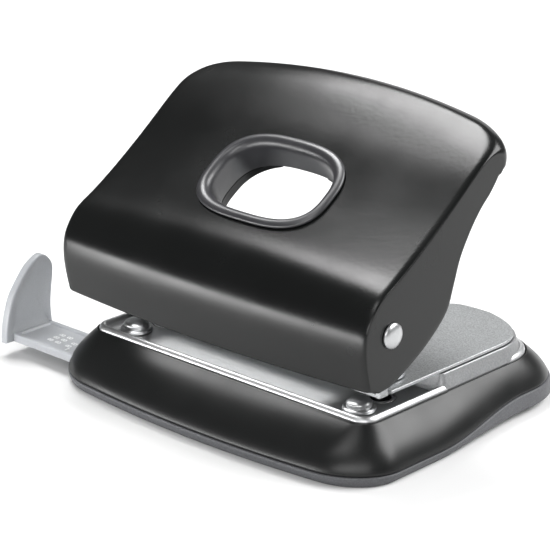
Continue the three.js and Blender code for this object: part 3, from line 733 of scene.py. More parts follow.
def scaled(color: Sequence[float], by: float) -> tuple[float, ...]:
    """Returns a colour made darker or lighter, and no lighter than white."""
    return tuple(min(1.0, value * by) for value in color)


class Shader:
    """A material under construction: a principled shader and the nodes before it."""

    def __init__(self, name: str) -> None:
        """Starts a material with a principled shader.

        Args:
            name: The material's name.
        """
        self.material = bpy.data.materials.new(name)
        self.material.use_nodes = True
        self.tree = self.material.node_tree
        self.surface = self.tree.nodes["Principled BSDF"]
        self.place = self.node("ShaderNodeTexCoord").outputs["Object"]

    def node(self, kind: str, **settings: object) -> bpy.types.Node:
        """Adds a node.

        Args:
            kind: Blender's name of the node's type.
            **settings: The node's values.

        Returns:
            The node.
        """
        made = self.tree.nodes.new(kind)
        for key, value in settings.items():
            setattr(made, key, value)
        return made

    def feed(self, source: object, target: Socket) -> None:
        """Sets a socket to a value, or links an output to it.

        Args:
            source: The value or the output.
            target: The socket.
        """
        if isinstance(source, Socket):
            self.tree.links.new(source, target)
        else:
            target.default_value = source

    def noise(
        self,
        scale: float,
        detail: float = 3.0,
        rough: float = 0.5,
        stretch: Triple | None = None,
    ) -> Socket:
        """Adds a noise in the piece's own metres.

        Args:
            scale: Its scale.
            detail: Its detail.
            rough: Its roughness.
            stretch: A further scale along each axis, where it has one.

        Returns:
            The noise's output.
        """
        place = self.place
        if stretch is not None:
            mapping = self.node("ShaderNodeMapping")
            self.feed(place, mapping.inputs["Vector"])
            mapping.inputs["Scale"].default_value = stretch
            place = mapping.outputs["Vector"]
        made = self.node("ShaderNodeTexNoise")
        self.feed(place, made.inputs["Vector"])
        made.inputs["Scale"].default_value = scale
        made.inputs["Detail"].default_value = detail
        made.inputs["Roughness"].default_value = rough
        return made.outputs["Fac"]

    def fit(self, source: object, low: float, high: float, to_low: object, to_high: object) -> Socket:
        """Maps a value from one range onto another, held at its ends.

        Args:
            source: The value.
            low: The low end of its range.
            high: The high end of its range.
            to_low: What the low end becomes, as a number or an output.
            to_high: What the high end becomes, as a number or an output.

        Returns:
            The mapped value.
        """
        made = self.node("ShaderNodeMapRange")
        self.feed(source, made.inputs["Value"])
        for key, value in (("From Min", low), ("From Max", high), ("To Min", to_low), ("To Max", to_high)):
            self.feed(value, made.inputs[key])
        return made.outputs["Result"]

    def spread(self, noise: object, middle: float, reach: Pair) -> Socket:
        """Makes a value that a noise moves below and above a middle."""
        return self.fit(noise, NOISE_LOW, NOISE_HIGH, middle + reach[0], middle + reach[1])

    def math(self, operation: str, first: object, second: object = 0.0) -> Socket:
        """Adds a maths node on two values.

        Args:
            operation: Blender's name of the operation.
            first: The first value.
            second: The second value, where the operation has one.

        Returns:
            The node's result.
        """
        made = self.node("ShaderNodeMath", operation=operation)
        self.feed(first, made.inputs[0])
        self.feed(second, made.inputs[1])
        return made.outputs[0]

    def blend(self, share: object, first: object, second: object) -> Socket:
        """Mixes two colours by a share.

        Args:
            share: The share of the second colour.
            first: The first colour, as an output or three numbers.
            second: The second colour, as an output or three numbers.

        Returns:
            The mixed colour.
        """
        first_color, second_color, result_color = 6, 7, 2
        made = self.node("ShaderNodeMix", data_type="RGBA")
        self.feed(share, made.inputs["Factor"])
        for value, key in ((first, first_color), (second, second_color)):
            linked = isinstance(value, Socket)
            self.feed(value if linked else (*value, 1.0), made.inputs[key])
        return made.outputs[result_color]

    def part_of_place(self, axis: str) -> Socket:
        """Gives one coordinate of the surface's place.

        Args:
            axis: The coordinate's letter.

        Returns:
            The coordinate in metres.
        """
        made = self.node("ShaderNodeSeparateXYZ")
        self.feed(self.place, made.inputs[0])
        return made.outputs[axis]

    def bump(self, height: object, distance: float, strength: float = 1.0) -> None:
        """Adds a bump over what the shader has.

        Args:
            height: The pattern that stands up.
            distance: How high it stands in metres.
            strength: How much of it shows.
        """
        made = self.node("ShaderNodeBump")
        made.inputs["Strength"].default_value = strength
        made.inputs["Distance"].default_value = distance
        self.feed(height, made.inputs["Height"])
        socket = self.surface.inputs["Normal"]
        if socket.is_linked:
            self.feed(socket.links[0].from_socket, made.inputs["Normal"])
        self.feed(made.outputs["Normal"], socket)

    def set(self, **values: object) -> None:
        """Sets or links sockets of the shader."""
        for key, value in values.items():
            self.feed(value, self.surface.inputs[key.replace("_", " ")])


@dataclass(frozen=True)
class Finish:
    """A finish, with its colour in linear light."""

    name: str
    slot: str
    color: Triple

    def build(self) -> bpy.types.Material:
        """Builds the material."""
        raise NotImplementedError

    def material(self) -> bpy.types.Material:
        """Returns the material, built once."""
        return bpy.data.materials.get(self.name) or self.build()


@dataclass(frozen=True)
class Paint(Finish):
    """Satin paint with a faint orange peel."""

    roughness: float = 0.36
    specular: float = 0.36
    peel: float = 900.0
    peel_height: float = 0.000012
    grain: float = 5200.0
    grain_height: float = 0.0000035
    cloud: float = 60.0
    lift: float = 1.35
    gloss_reach: Pair = (-0.025, 0.035)

    def build(self) -> bpy.types.Material:
        """Builds the paint: colour and gloss vary softly, and the coat has a peel and a fine grain.

        Returns:
            The material.
        """
        shader = Shader(self.name)
        cloud = shader.noise(self.cloud, 2.0)
        fine = shader.noise(self.grain, 2.0)
        shader.set(
            Base_Color=shader.blend(fine, self.color, scaled(self.color, self.lift)),
            Roughness=shader.spread(cloud, self.roughness, self.gloss_reach),
            Specular_IOR_Level=self.specular,
        )
        shader.bump(shader.noise(self.peel, 1.0), self.peel_height)
        shader.bump(fine, self.grain_height)
        return shader.material


@dataclass(frozen=True)
class Moulding(Finish):
    """Moulded plastic with a fine spark-eroded grain."""

    roughness: float = 0.4
    specular: float = 0.4
    grain: float = 3000.0
    grain_height: float = 0.000008
    contrast: float = 0.25
    glow: float = 0.0
    glow_radius: Triple = (0.0022, 0.0022, 0.0024)
    cloud: float = 90.0
    gloss_reach: Pair = (-0.03, 0.04)

    def build(self) -> bpy.types.Material:
        """Builds the plastic: grain in the bump, gloss and colour, and some depth where it lets light in.

        Returns:
            The material.
        """
        shader = Shader(self.name)
        fine = shader.noise(self.grain, 3.0, 0.6)
        broad = shader.noise(self.cloud, 2.0)
        darker, lighter = (scaled(self.color, 1 + sign * self.contrast) for sign in (-1, 1))
        shader.set(
            Base_Color=shader.blend(shader.fit(fine, NOISE_LOW, NOISE_HIGH, 0.0, 1.0), darker, lighter),
            Roughness=shader.spread(broad, self.roughness, self.gloss_reach),
            Specular_IOR_Level=self.specular,
        )
        if self.glow > 0:
            shader.surface.inputs["Subsurface Weight"].default_value = self.glow
            shader.surface.inputs["Subsurface Radius"].default_value = self.glow_radius
            shader.surface.inputs["Subsurface Scale"].default_value = 1.0
        shader.bump(fine, self.grain_height)
        return shader.material


@dataclass(frozen=True)
class Metal(Finish):
    """Bare or plated metal: a grain of specks, and fine lines along one axis where it is ground."""

    roughness: float = 0.3
    specks: float = 1800.0
    speck_height: float = 0.00001
    contrast: float = 0.12
    line_stretch: Triple | None = None
    line_height: float = 0.000002
    cloud: float = 140.0
    cloud_reach: Pair = (-0.02, 0.03)
    speck_reach: Pair = (-0.03, 0.04)
    speck_range: Pair = (0.32, 0.68)

    def build(self) -> bpy.types.Material:
        """Builds the metal.

        Returns:
            The material.
        """
        shader = Shader(self.name)
        fine = shader.noise(self.specks, 3.0, 0.65)
        broad = shader.noise(self.cloud, 3.0)
        darker, lighter = (scaled(self.color, 1 + sign * self.contrast) for sign in (-1, 1))
        gloss = shader.math("ADD", shader.spread(broad, 0.0, self.cloud_reach), self.roughness)
        gloss = shader.math("ADD", gloss, shader.spread(fine, 0.0, self.speck_reach))
        shader.set(
            Base_Color=shader.blend(shader.fit(fine, *self.speck_range, 0.0, 1.0), darker, lighter),
            Metallic=1.0,
            Roughness=gloss,
        )
        shader.bump(fine, self.speck_height)
        if self.line_stretch is not None:
            shader.bump(shader.noise(1.0, 3.0, 0.6, self.line_stretch), self.line_height)
        return shader.material


@dataclass(frozen=True)
class BrightPlating(Finish):
    """Bright plating on the die plate, with a grained panel between the fixings at the front whose lighter
    colour is partly painted light under the lever.
    """

    roughness: float = 0.4
    panel_roughness: float = 0.5
    panel_metallic: float = 0.3
    # the panel's colour: its grain, and lighter than the plating as painted light where the lever shades the
    # floor
    panel_color: Triple = (0.78, 0.79, 0.795)
    panel_half: float = 32.0
    panel_soft: float = 2.5
    panel_fade: Pair = (0.1, 0.3)
    panel_shade: float = 0.7
    panel_relief: float = 0.00002
    grain: float = 2300.0
    grain_reach: Pair = (0.8, 1.15)
    cloud: float = 170.0
    cloud_shade: float = 0.93
    gloss_reach: Pair = (-0.02, 0.04)
    ripple: float = 500.0
    ripple_height: float = 0.0000015

    def panel(self, shader: Shader) -> Socket:
        """Marks the panel, where the plate is grained and painted lighter as painted light under the lever,
        with soft ends across the plate and a soft top on the bead.

        Args:
            shader: The shader of the plating.

        Returns:
            A share: 1 on the panel and 0 off it.
        """
        across = shader.math("ABSOLUTE", shader.part_of_place("X"))
        inner, outer = ((self.panel_half + sign * self.panel_soft) * MM for sign in (-1, 1))
        middle = shader.fit(across, inner, outer, 1.0, 0.0)
        low, high = ((FLOOR_TOP + rise) * MM for rise in self.panel_fade)
        level = shader.fit(shader.part_of_place("Z"), low, high, 1.0, 0.0)
        return shader.math("MULTIPLY", middle, level)

    def build(self) -> bpy.types.Material:
        """Builds the plating.

        Returns:
            The material.
        """
        shader = Shader(self.name)
        panel = self.panel(shader)
        fine = shader.noise(self.grain, 3.0, 0.7)
        soft = shader.noise(self.cloud, 3.0)
        grained = shader.fit(fine, NOISE_LOW, NOISE_HIGH, *self.grain_reach)
        bright = shader.fit(soft, NOISE_LOW, NOISE_HIGH, 0.0, 1.0)
        plated = shader.blend(bright, self.color, scaled(self.color, self.cloud_shade))
        # the grained panel colour, lighter than the plating as painted light under the lever
        grained_panel_with_painted_light = shader.blend(grained, scaled(self.panel_color, self.panel_shade), self.panel_color)
        gloss = shader.spread(soft, self.roughness, self.gloss_reach)
        shader.set(
            Base_Color=shader.blend(panel, plated, grained_panel_with_painted_light),
            Metallic=shader.fit(panel, 0.0, 1.0, 1.0, self.panel_metallic),
            Roughness=shader.fit(panel, 0.0, 1.0, gloss, self.panel_roughness),
        )
        shader.bump(shader.math("MULTIPLY", fine, panel), self.panel_relief)
        shader.bump(shader.noise(self.ripple, 2.0), self.ripple_height)
        return shader.material


LEVER_PAINT = Paint("lever_satin_black", "black_paint", (0.005, 0.0055, 0.0054), 0.24, 0.4)
SHELL_PLASTIC = Moulding("shell_satin_black", "black_plastic", (0.008, 0.0085, 0.0085), 0.32, 0.46,
                         2600.0, 0.000006, 0.2)
TRAY_PLASTIC = Moulding("tray_soft_grey", "grey_plastic", (0.105, 0.107, 0.113), 0.5, 0.35,
                        2400.0, 0.00001, 0.22)
RING_PLASTIC = Moulding("ring_dark_grey", "ring_plastic", (0.034, 0.034, 0.038), 0.36, 1.0,
                        3000.0, 0.000002, 0.1)
GUIDE_PLASTIC = Moulding("guide_light_grey", "guide_plastic", (0.37, 0.381, 0.397), 0.36, 0.42,
                         2200.0, 0.000004, 0.04, 0.25)
GUIDE_PRINT = Moulding("guide_raised_numbers", "guide_plastic", (0.72, 0.73, 0.74), 0.4, 0.4,
                       2200.0, 0.000002, 0.03, 0.2)
PLATE_PLATING = BrightPlating("plate_bright_nickel", "bright_plate", (0.6, 0.605, 0.61))
PLATFORM_PLATING = Metal("platform_satin_nickel", "bright_plate", (0.32, 0.325, 0.33), 0.48,
                         1900.0, 0.000014, 0.14)
RIVET_PLATING = Metal("rivet_bright_nickel", "bright_plate", (0.5, 0.505, 0.51), 0.33,
                      2600.0, 0.000002, 0.05)
BRACKET_STEEL = Metal("bracket_grained_zinc", "grained_steel", (0.4, 0.41, 0.415), 0.47,
                      2100.0, 0.00003, 0.3)
PLAIN_STEEL = Metal("plain_satin_steel", "plain_steel", (0.5, 0.51, 0.52), 0.3, 2200.0, 0.000003, 0.1,
                    (400.0, 60.0, 400.0))
HARD_STEEL = Metal("ground_hard_steel", "hard_steel", (0.58, 0.585, 0.59), 0.2, 2600.0, 0.000002, 0.06,
                   (60.0, 60.0, 2600.0))
SPRING_STEEL = Metal("spring_steel", "plain_steel", (0.42, 0.425, 0.43), 0.27, 2600.0, 0.000002, 0.08)


# seating pieces


def seat_piece(made: Piece, finish: Finish, body: str, nodes: Sequence[str] = ()) -> Piece:
    """Gives a piece its finish and body, and hides the nodes that it stands for.

    Args:
        made: The piece.
        finish: Its finish.
        body: The body that it rides on.
        nodes: The nodes that it replaces.

    Returns:
        The piece.
    """
    made.data.materials.clear()
    made.data.materials.append(finish.material())
    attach(made, body)
    if nodes:
        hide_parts(*nodes)
    LOG.info("%s: %d points on %s", made.name, len(made.data.vertices), body)
    return made


# base


@dataclass
class BaseShell:
    """The black shell: a flank that sweeps in from the widest line to the plate's pocket."""

    edge: float = 0.35
    edge_steps: int = 4
    ledge_width: float = 4.0
    flank_steps: int = 46
    flank_crowding: float = 0.9
    flank_top_share: float = 0.975
    lip: tuple[Pair, ...] = ((-0.3, 0.1), (-0.12, 0.08), (0.0, 0.26))
    inner_shares: tuple[float, ...] = (0.6, 0.4, 0.2, 0.0)
    slot_corner: float = 0.4
    slot_edge: float = 0.01
    hanger_thick: float = 2.4
    hanger_root: float = 7.6
    hanger_foot: float = 2.1
    hanger_edge: float = 0.15
    hanger_places: Pair = (-32.0, 6.5)
    lug_radius: float = 4.6
    lug_round: float = 0.3
    lug_seat: float = 0.02
    lug_x: float = 41.5
    web_share: float = 0.8
    web_foot: float = 0.4
    web_head: float = 0.1
    sharp: float = 50.0
    hanger_sharp: float = 40.0

    def flank_ring(self, share: float, wall: float = 0.0, lift: float = 0.0) -> np.ndarray:
        """Returns a ring of the flank."""
        height = lerp(parting_heights() + lift, PLATE_TOP, share)
        return POCKET_OUTLINE.blended(WIDEST_OUTLINE, flank_share(height)).inset(wall).ring(height)

    def rings(self) -> list[np.ndarray]:
        """Makes the rings round the shell's section, from the parting line over the flank and back inside.

        Returns:
            The rings in order.
        """
        rounded = [
            self.flank_ring(0, self.edge * (1 - math.sin(turn)), self.edge * (1 - math.cos(turn)))
            for turn in quarter(self.edge_steps)
        ]
        steps = range(1, self.flank_steps + 1)
        shares = [(i / self.flank_steps) ** self.flank_crowding * self.flank_top_share for i in steps]
        flank = [self.flank_ring(share, 0.0, self.edge * (1 - share)) for share in shares]
        lip = [POCKET_OUTLINE.inset(by).ring(PLATE_TOP - drop) for by, drop in self.lip]
        ledge = POCKET_OUTLINE.inset(self.ledge_width)
        inside = [
            POCKET_OUTLINE.ring(LEDGE_TOP),
            ledge.ring(LEDGE_TOP),
            ledge.ring(LEDGE_TOP - LAYOUT.shell_wall),
        ]
        inside += [self.flank_ring(share, LAYOUT.shell_wall) for share in self.inner_shares]
        return rounded + flank + lip + inside

    def hanger(self, x: float, name: str) -> Piece:
        """Builds a cross web under the die plate, with the slot that carries the guide's bar.

        Args:
            x: The X of its middle.
            name: The piece's name.

        Returns:
            The new object.
        """
        x0, x1 = x - self.hanger_thick / 2, x + self.hanger_thick / 2
        room, wall, top = LAYOUT.seat, self.hanger_thick, GUIDE_TOP
        front = GUIDE_MIDDLE - LAYOUT.guide_width / 2
        back = GUIDE_MIDDLE + LAYOUT.guide_width / 2
        root = -LAYOUT.base_depth / 2 + self.hanger_root
        loop = np.array([
            (root, PARTING_HEIGHT + room), (front - wall / 2, PARTING_HEIGHT + room),
            (front - wall / 2, self.hanger_foot), (back + wall, self.hanger_foot),
            (back + wall, top + wall), (root, top + wall),
        ])
        web = plate_draft(loop, x0, x1, self.hanger_edge, Axis.ACROSS).make(name, self.hanger_sharp)
        slot = Draft()
        low = (x0 - CUT_OVERRUN, front - room, top - LAYOUT.guide_thick - room)
        slot.box(low, (x1 + CUT_OVERRUN, back + room, top + room))
        carve(web, [slot], sharp=self.hanger_sharp)
        return web

    def lug(self, x: float, y: float, name: str) -> Piece:
        """Builds a post under the ledge, with the web that ties it to the frame.

        Args:
            x: The X of its middle.
            y: The Y of its middle.
            name: The piece's name.

        Returns:
            The new object.
        """
        top, bottom = LEDGE_TOP - self.lug_seat, LEDGE_TOP - LAYOUT.lug_depth
        corners = [
            (0, bottom, 0), (self.lug_radius, bottom, self.lug_round),
            (self.lug_radius, top, 0), (0, top, 0),
        ]
        post = turned_draft(corners, place=(x, y, 0)).make(name)
        plate_end = PLATE_REAR if y > 0 else PLATE_FRONT
        frame = plate_end - math.copysign(self.ledge_width / 2, y)
        half = self.lug_radius * self.web_share
        web = Draft()
        low = (x - half, min(y, frame), bottom + self.web_foot)
        web.box(low, (x + half, max(y, frame), top - self.web_head))
        carve(post, [web], union=True)
        return post

    def slot(self) -> Draft:
        """Makes the body that cuts the guide's slot through the left flank.

        Returns:
            The draft.
        """
        room, half = LAYOUT.seat, LAYOUT.guide_width / 2
        low = (GUIDE_MIDDLE - half - room, GUIDE_TOP - LAYOUT.guide_thick - room)
        high = (GUIDE_MIDDLE + half + room, GUIDE_TOP + room)
        loop = rounded_rectangle(low, high, self.slot_corner)
        end = -PLATE_HALF + self.ledge_width
        return plate_draft(loop, -LAYOUT.base_width, end, self.slot_edge, Axis.ACROSS)

    def build(self) -> None:
        """Builds the shell, its hangers and its lugs, and seats them on the base."""
        draft = Draft()
        draft.loft(self.rings(), closed=True)
        shell = draft.make("shell_body", self.sharp)
        carve(shell, [self.slot()], sharp=self.sharp)
        seat_piece(shell, SHELL_PLASTIC, "base", ["base_shell"])
        for x, word in zip(self.hanger_places, ("left", "middle")):
            seat_piece(self.hanger(x, f"shell_hanger_{word}"), SHELL_PLASTIC, "base")
        places = (
            ("front", PLATE_FRONT + LAYOUT.front_fixing_back),
            ("rear", PLATE_REAR - PLATE_OUTLINE.rear_radius),
        )
        for side in Side:
            for word, y in places:
                lug = self.lug(side.value * self.lug_x, y, f"shell_{word}_lug_{side.word}")
                seat_piece(lug, SHELL_PLASTIC, "base")


@dataclass
class ChipTray:
    """The grey tray that the shell stands on."""

    foot_round: float = 0.8
    foot_round_share: float = 0.4
    foot_lift: float = 0.06
    wall: float = 1.6
    floor: float = 1.5
    edge: float = 0.4
    edge_steps: int = 4
    steps: int = 20
    low_share: float = 0.1
    tab_width: float = 12.0
    tab_rise: float = 4.0
    tab_place: float = 20.0
    rib_thick: float = 1.2
    rib_rise: float = 0.9
    rib_rear: float = 36.0
    upright_corner: float = 0.5
    upright_edge: float = 0.3

    def ring(self, drop: float, share: float = 1.0, wall: float = 0.0) -> np.ndarray:
        """Returns a ring of the tray's outside.

        Args:
            drop: How far below the parting line the ring's top would be.
            share: The share of the way up from the desk.
            wall: How far the ring is moved inwards.

        Returns:
            The ring's points.
        """
        height = share * (parting_heights() - LAYOUT.seat - drop)
        swell = 1 - (1 - np.clip((height - self.foot_round / 2) / WIDEST_HEIGHT, 0, 1)) ** 2
        side = POCKET_OUTLINE.blended(FOOT_OUTLINE.blended(WIDEST_OUTLINE, swell), flank_share(height))
        return side.inset(wall).ring(height)

    def upright(self, name: str, low: Pair, high: Pair, top: float) -> None:
        """Builds a tab or a rib on the tray's floor and seats it on the tray.

        Args:
            name: The piece's name.
            low: Its lowest corner in plan.
            high: Its highest corner in plan.
            top: Its height.
        """
        loop = rounded_rectangle(low, high, self.upright_corner)
        draft = plate_draft(loop, self.floor - self.upright_edge, top, self.upright_edge)
        seat_piece(draft.make(name), TRAY_PLASTIC, "tray")

    def build(self) -> None:
        """Builds the tray with its tabs and ribs, and seats it on its own body."""
        foot = FOOT_OUTLINE.inset(self.foot_round)
        climbs = [self.low_share + (1 - self.low_share) * i / self.steps for i in range(self.steps + 1)]
        lowest = FOOT_OUTLINE.inset(self.foot_round * self.foot_round_share)
        rings = [foot.ring(0.0), lowest.ring(self.foot_lift)]
        rings += [self.ring(self.edge, climb) for climb in climbs]
        rings += [
            self.ring(self.edge * (1 - math.sin(turn)), wall=self.edge * (1 - math.cos(turn)))
            for turn in quarter(self.edge_steps)[1:]
        ]
        rings += [self.ring(0.0, wall=self.wall), FOOT_OUTLINE.inset(2 * self.wall).ring(self.floor)]
        draft = Draft()
        draft.loft(rings)
        seat_piece(draft.make("tray_body", 50.0), TRAY_PLASTIC, "tray", ["chip_tray"])
        half_depth, wall = LAYOUT.base_depth / 2, LAYOUT.shell_wall
        rear = half_depth - WIDEST_OUTLINE.rear_bow - wall - LAYOUT.seat
        front = -half_depth + wall + WIDEST_OUTLINE.front_bow / 2 + LAYOUT.seat
        for side in Side:
            x = side.value * self.tab_place
            tab, rib = self.tab_width / 2, self.rib_thick / 2
            for y, word in ((rear - 2 * self.wall, "rear"), (front + self.wall, "front")):
                self.upright(f"tray_tab_{word}_{side.word}", (x - tab, y), (x + tab, y + self.wall),
                             PARTING_HEIGHT + self.tab_rise)
            self.upright(f"tray_rib_{side.word}", (x - rib, front + 2 * self.wall), (x + rib, self.rib_rear),
                         self.floor + self.rib_rise)


@dataclass
class DiePlate:
    """The plated plate: a pan with a bead round it and a raised platform at the rear."""

    bead_width: float = 2.4
    bead_height: float = 1.2
    bead_power: float = 0.75
    bead_end_share: float = 0.94
    bead_stretch: float = 1.06
    bead_steps: int = 14
    fall: tuple[Pair, ...] = (
        (1.12, 0.28), (1.28, 0.56), (1.5, 0.8), (1.7, 0.95), (1.95, 1.0)
    )
    under_round: float = 0.3
    lean: float = 1.2
    lean_shares: tuple[float, ...] = (0.0, 0.25, 0.5, 0.75)
    shoulder: float = 0.5
    shoulder_steps: int = 12
    platform_root: float = 0.4
    platform_foot: float = 0.25
    platform_spread: float = 0.02
    platform_rear_radius: float = 17.5
    stop_round: float = 2.6
    die_hole: float = 4.2
    hole_span: Pair = (8.0, 16.0)
    sharp: float = 50.0

    def bead_rings(self) -> list[np.ndarray]:
        """Makes the rings of the pan, from its underside over the bead to its floor.

        Returns:
            The rings in order.
        """
        top, under = PLATE_TOP, FLOOR_UNDER
        rings = [
            PLATE_OUTLINE.inset(self.under_round).ring(under),
            PLATE_OUTLINE.ring(under + self.under_round),
        ]
        for step in range(self.bead_steps + 1):
            share = step / self.bead_steps
            height = top
            if share < self.bead_end_share:
                arch = math.sin(HALF_TURN * min(share * self.bead_stretch, 1.0))
                height = top + self.bead_height * arch ** self.bead_power
            rings.append(PLATE_OUTLINE.inset(share * self.bead_width).ring(height))
        for by, down in self.fall:
            height = top - down * LAYOUT.floor_drop
            rings.append(PLATE_OUTLINE.inset(by * self.bead_width).ring(height))
        return rings

    def platform_rings(self) -> list[np.ndarray]:
        """Makes the rings of the platform, from the plate's floor over its rounded shoulder.

        Returns:
            The rings in order.
        """
        outline = replace(
            PLATE_OUTLINE.inset(-self.platform_spread),
            front=STOP_BACK,
            front_radius=self.stop_round,
            rear_radius=self.platform_rear_radius,
        )
        rings = [outline.ring(FLOOR_UNDER + self.platform_root)]
        low, high = PLATE_TOP + self.platform_foot, PLATFORM_TOP
        for share in self.lean_shares:
            rings.append(outline.inset(self.lean * share).ring(lerp(low, high - self.shoulder, share)))
        for turn in quarter(self.shoulder_steps):
            by = self.lean + self.shoulder * (1 - math.cos(turn))
            rings.append(outline.inset(by).ring(high - self.shoulder * (1 - math.sin(turn))))
        return rings

    def build(self) -> None:
        """Builds the plate and seats it on the base."""
        pan = Draft()
        pan.loft(self.bead_rings())
        plate = pan.make("plate_pan", self.sharp)
        places = [(side.value * PUNCH_X, PUNCH_BACK, 0) for side in Side]
        carve(plate, [drill(self.die_hole, *self.hole_span, place) for place in places], sharp=self.sharp)
        seat_piece(plate, PLATE_PLATING, "base", ["die_plate"])
        platform = Draft()
        platform.loft(self.platform_rings())
        seat_piece(platform.make("plate_platform", self.sharp), PLATFORM_PLATING, "base")


@dataclass
class DomedRivet:
    """A straight rivet with a domed head up, on a flange where it has one, and a formed foot."""

    head_radius: float
    head_under: float
    dome: float
    shank: float
    foot: float
    foot_top: float
    flange_radius: float = 0.0
    flange_thick: float = 0.0
    edge_share: float = 0.3
    foot_share: float = 1.7
    dome_steps: int = 16

    def draft(self, x: float, y: float) -> Draft:
        """Makes the rivet.

        Args:
            x: The X of its axis.
            y: The Y of its axis.

        Returns:
            The draft.
        """
        foot_radius = self.shank * self.foot_share
        under = self.head_under + self.flange_thick
        flange = []
        if self.flange_thick > 0:
            flange = [
                (self.flange_radius, self.head_under, 0.05),
                (self.flange_radius, under - 0.4, 0.3), (self.flange_radius - 0.5, under, 0.3),
            ]
        outline = [
            (0, self.foot_top - self.foot, 0), (foot_radius, self.foot_top - self.foot, 0.3),
            (foot_radius, self.foot_top, 0.1), (self.shank, self.foot_top, 0),
            (self.shank, self.head_under, 0),
            *flange,
            (self.head_radius, under, 0.05),
            *dome_corners(self.head_radius, under, self.dome, self.edge_share, self.dome_steps),
        ]
        return turned_draft(outline, place=(x, y, 0))


@dataclass
class PlateFixings:
    """The bright rivets at the front of the plate and the screws under its rear."""

    spacing: float = 83.0
    flange_radius: float = 4.5
    flange_thick: float = 1.1
    cap_radius: float = 3.5
    cap: float = 2.3
    screw_radius: float = 1.5
    screw_head_radius: float = 2.9
    screw_head: float = 1.7
    screw_short: float = 2.6
    screw_point: float = 1.0
    rivet_foot: float = 1.0

    @property
    def lug_under(self) -> float:
        """Height that the rivets' feet and the screws' heads reach up to, under the lugs."""
        return LEDGE_TOP - LAYOUT.lug_depth - LAYOUT.seat

    def screw(self, x: float) -> Draft:
        """Makes a screw whose head sits under its lug.

        Args:
            x: The X of its axis.

        Returns:
            The draft.
        """
        top, end = self.lug_under, PLATFORM_TOP - self.screw_short
        outline = [
            (0, top - self.screw_head, 0),
            (self.screw_head_radius - 0.3, top - self.screw_head, 0.5),
            (self.screw_head_radius, top - self.screw_head / 2, 0.2),
            (self.screw_head_radius, top, 0.1), (self.screw_radius, top, 0),
            (self.screw_radius, end - self.screw_point, 0.1), (0, end, 0),
        ]
        return turned_draft(outline, place=(x, PLATE_REAR - PLATE_OUTLINE.rear_radius, 0))

    def build(self) -> None:
        """Builds the rivets and screws."""
        rivet = DomedRivet(self.cap_radius, FLOOR_TOP + LAYOUT.seat, self.cap, self.screw_radius,
                           self.rivet_foot, self.lug_under, self.flange_radius, self.flange_thick)
        for side in Side:
            x = side.value * self.spacing / 2
            front = rivet.draft(x, PLATE_FRONT + LAYOUT.front_fixing_back)
            seat_piece(front.make(f"plate_rivet_{side.word}"), RIVET_PLATING, "base",
                       [f"front_rivet_{side.word}"])
            screw = self.screw(x).make(f"plate_screw_{side.word}")
            seat_piece(screw, PLAIN_STEEL, "base", [f"rear_screw_{side.word}"])


# bracket


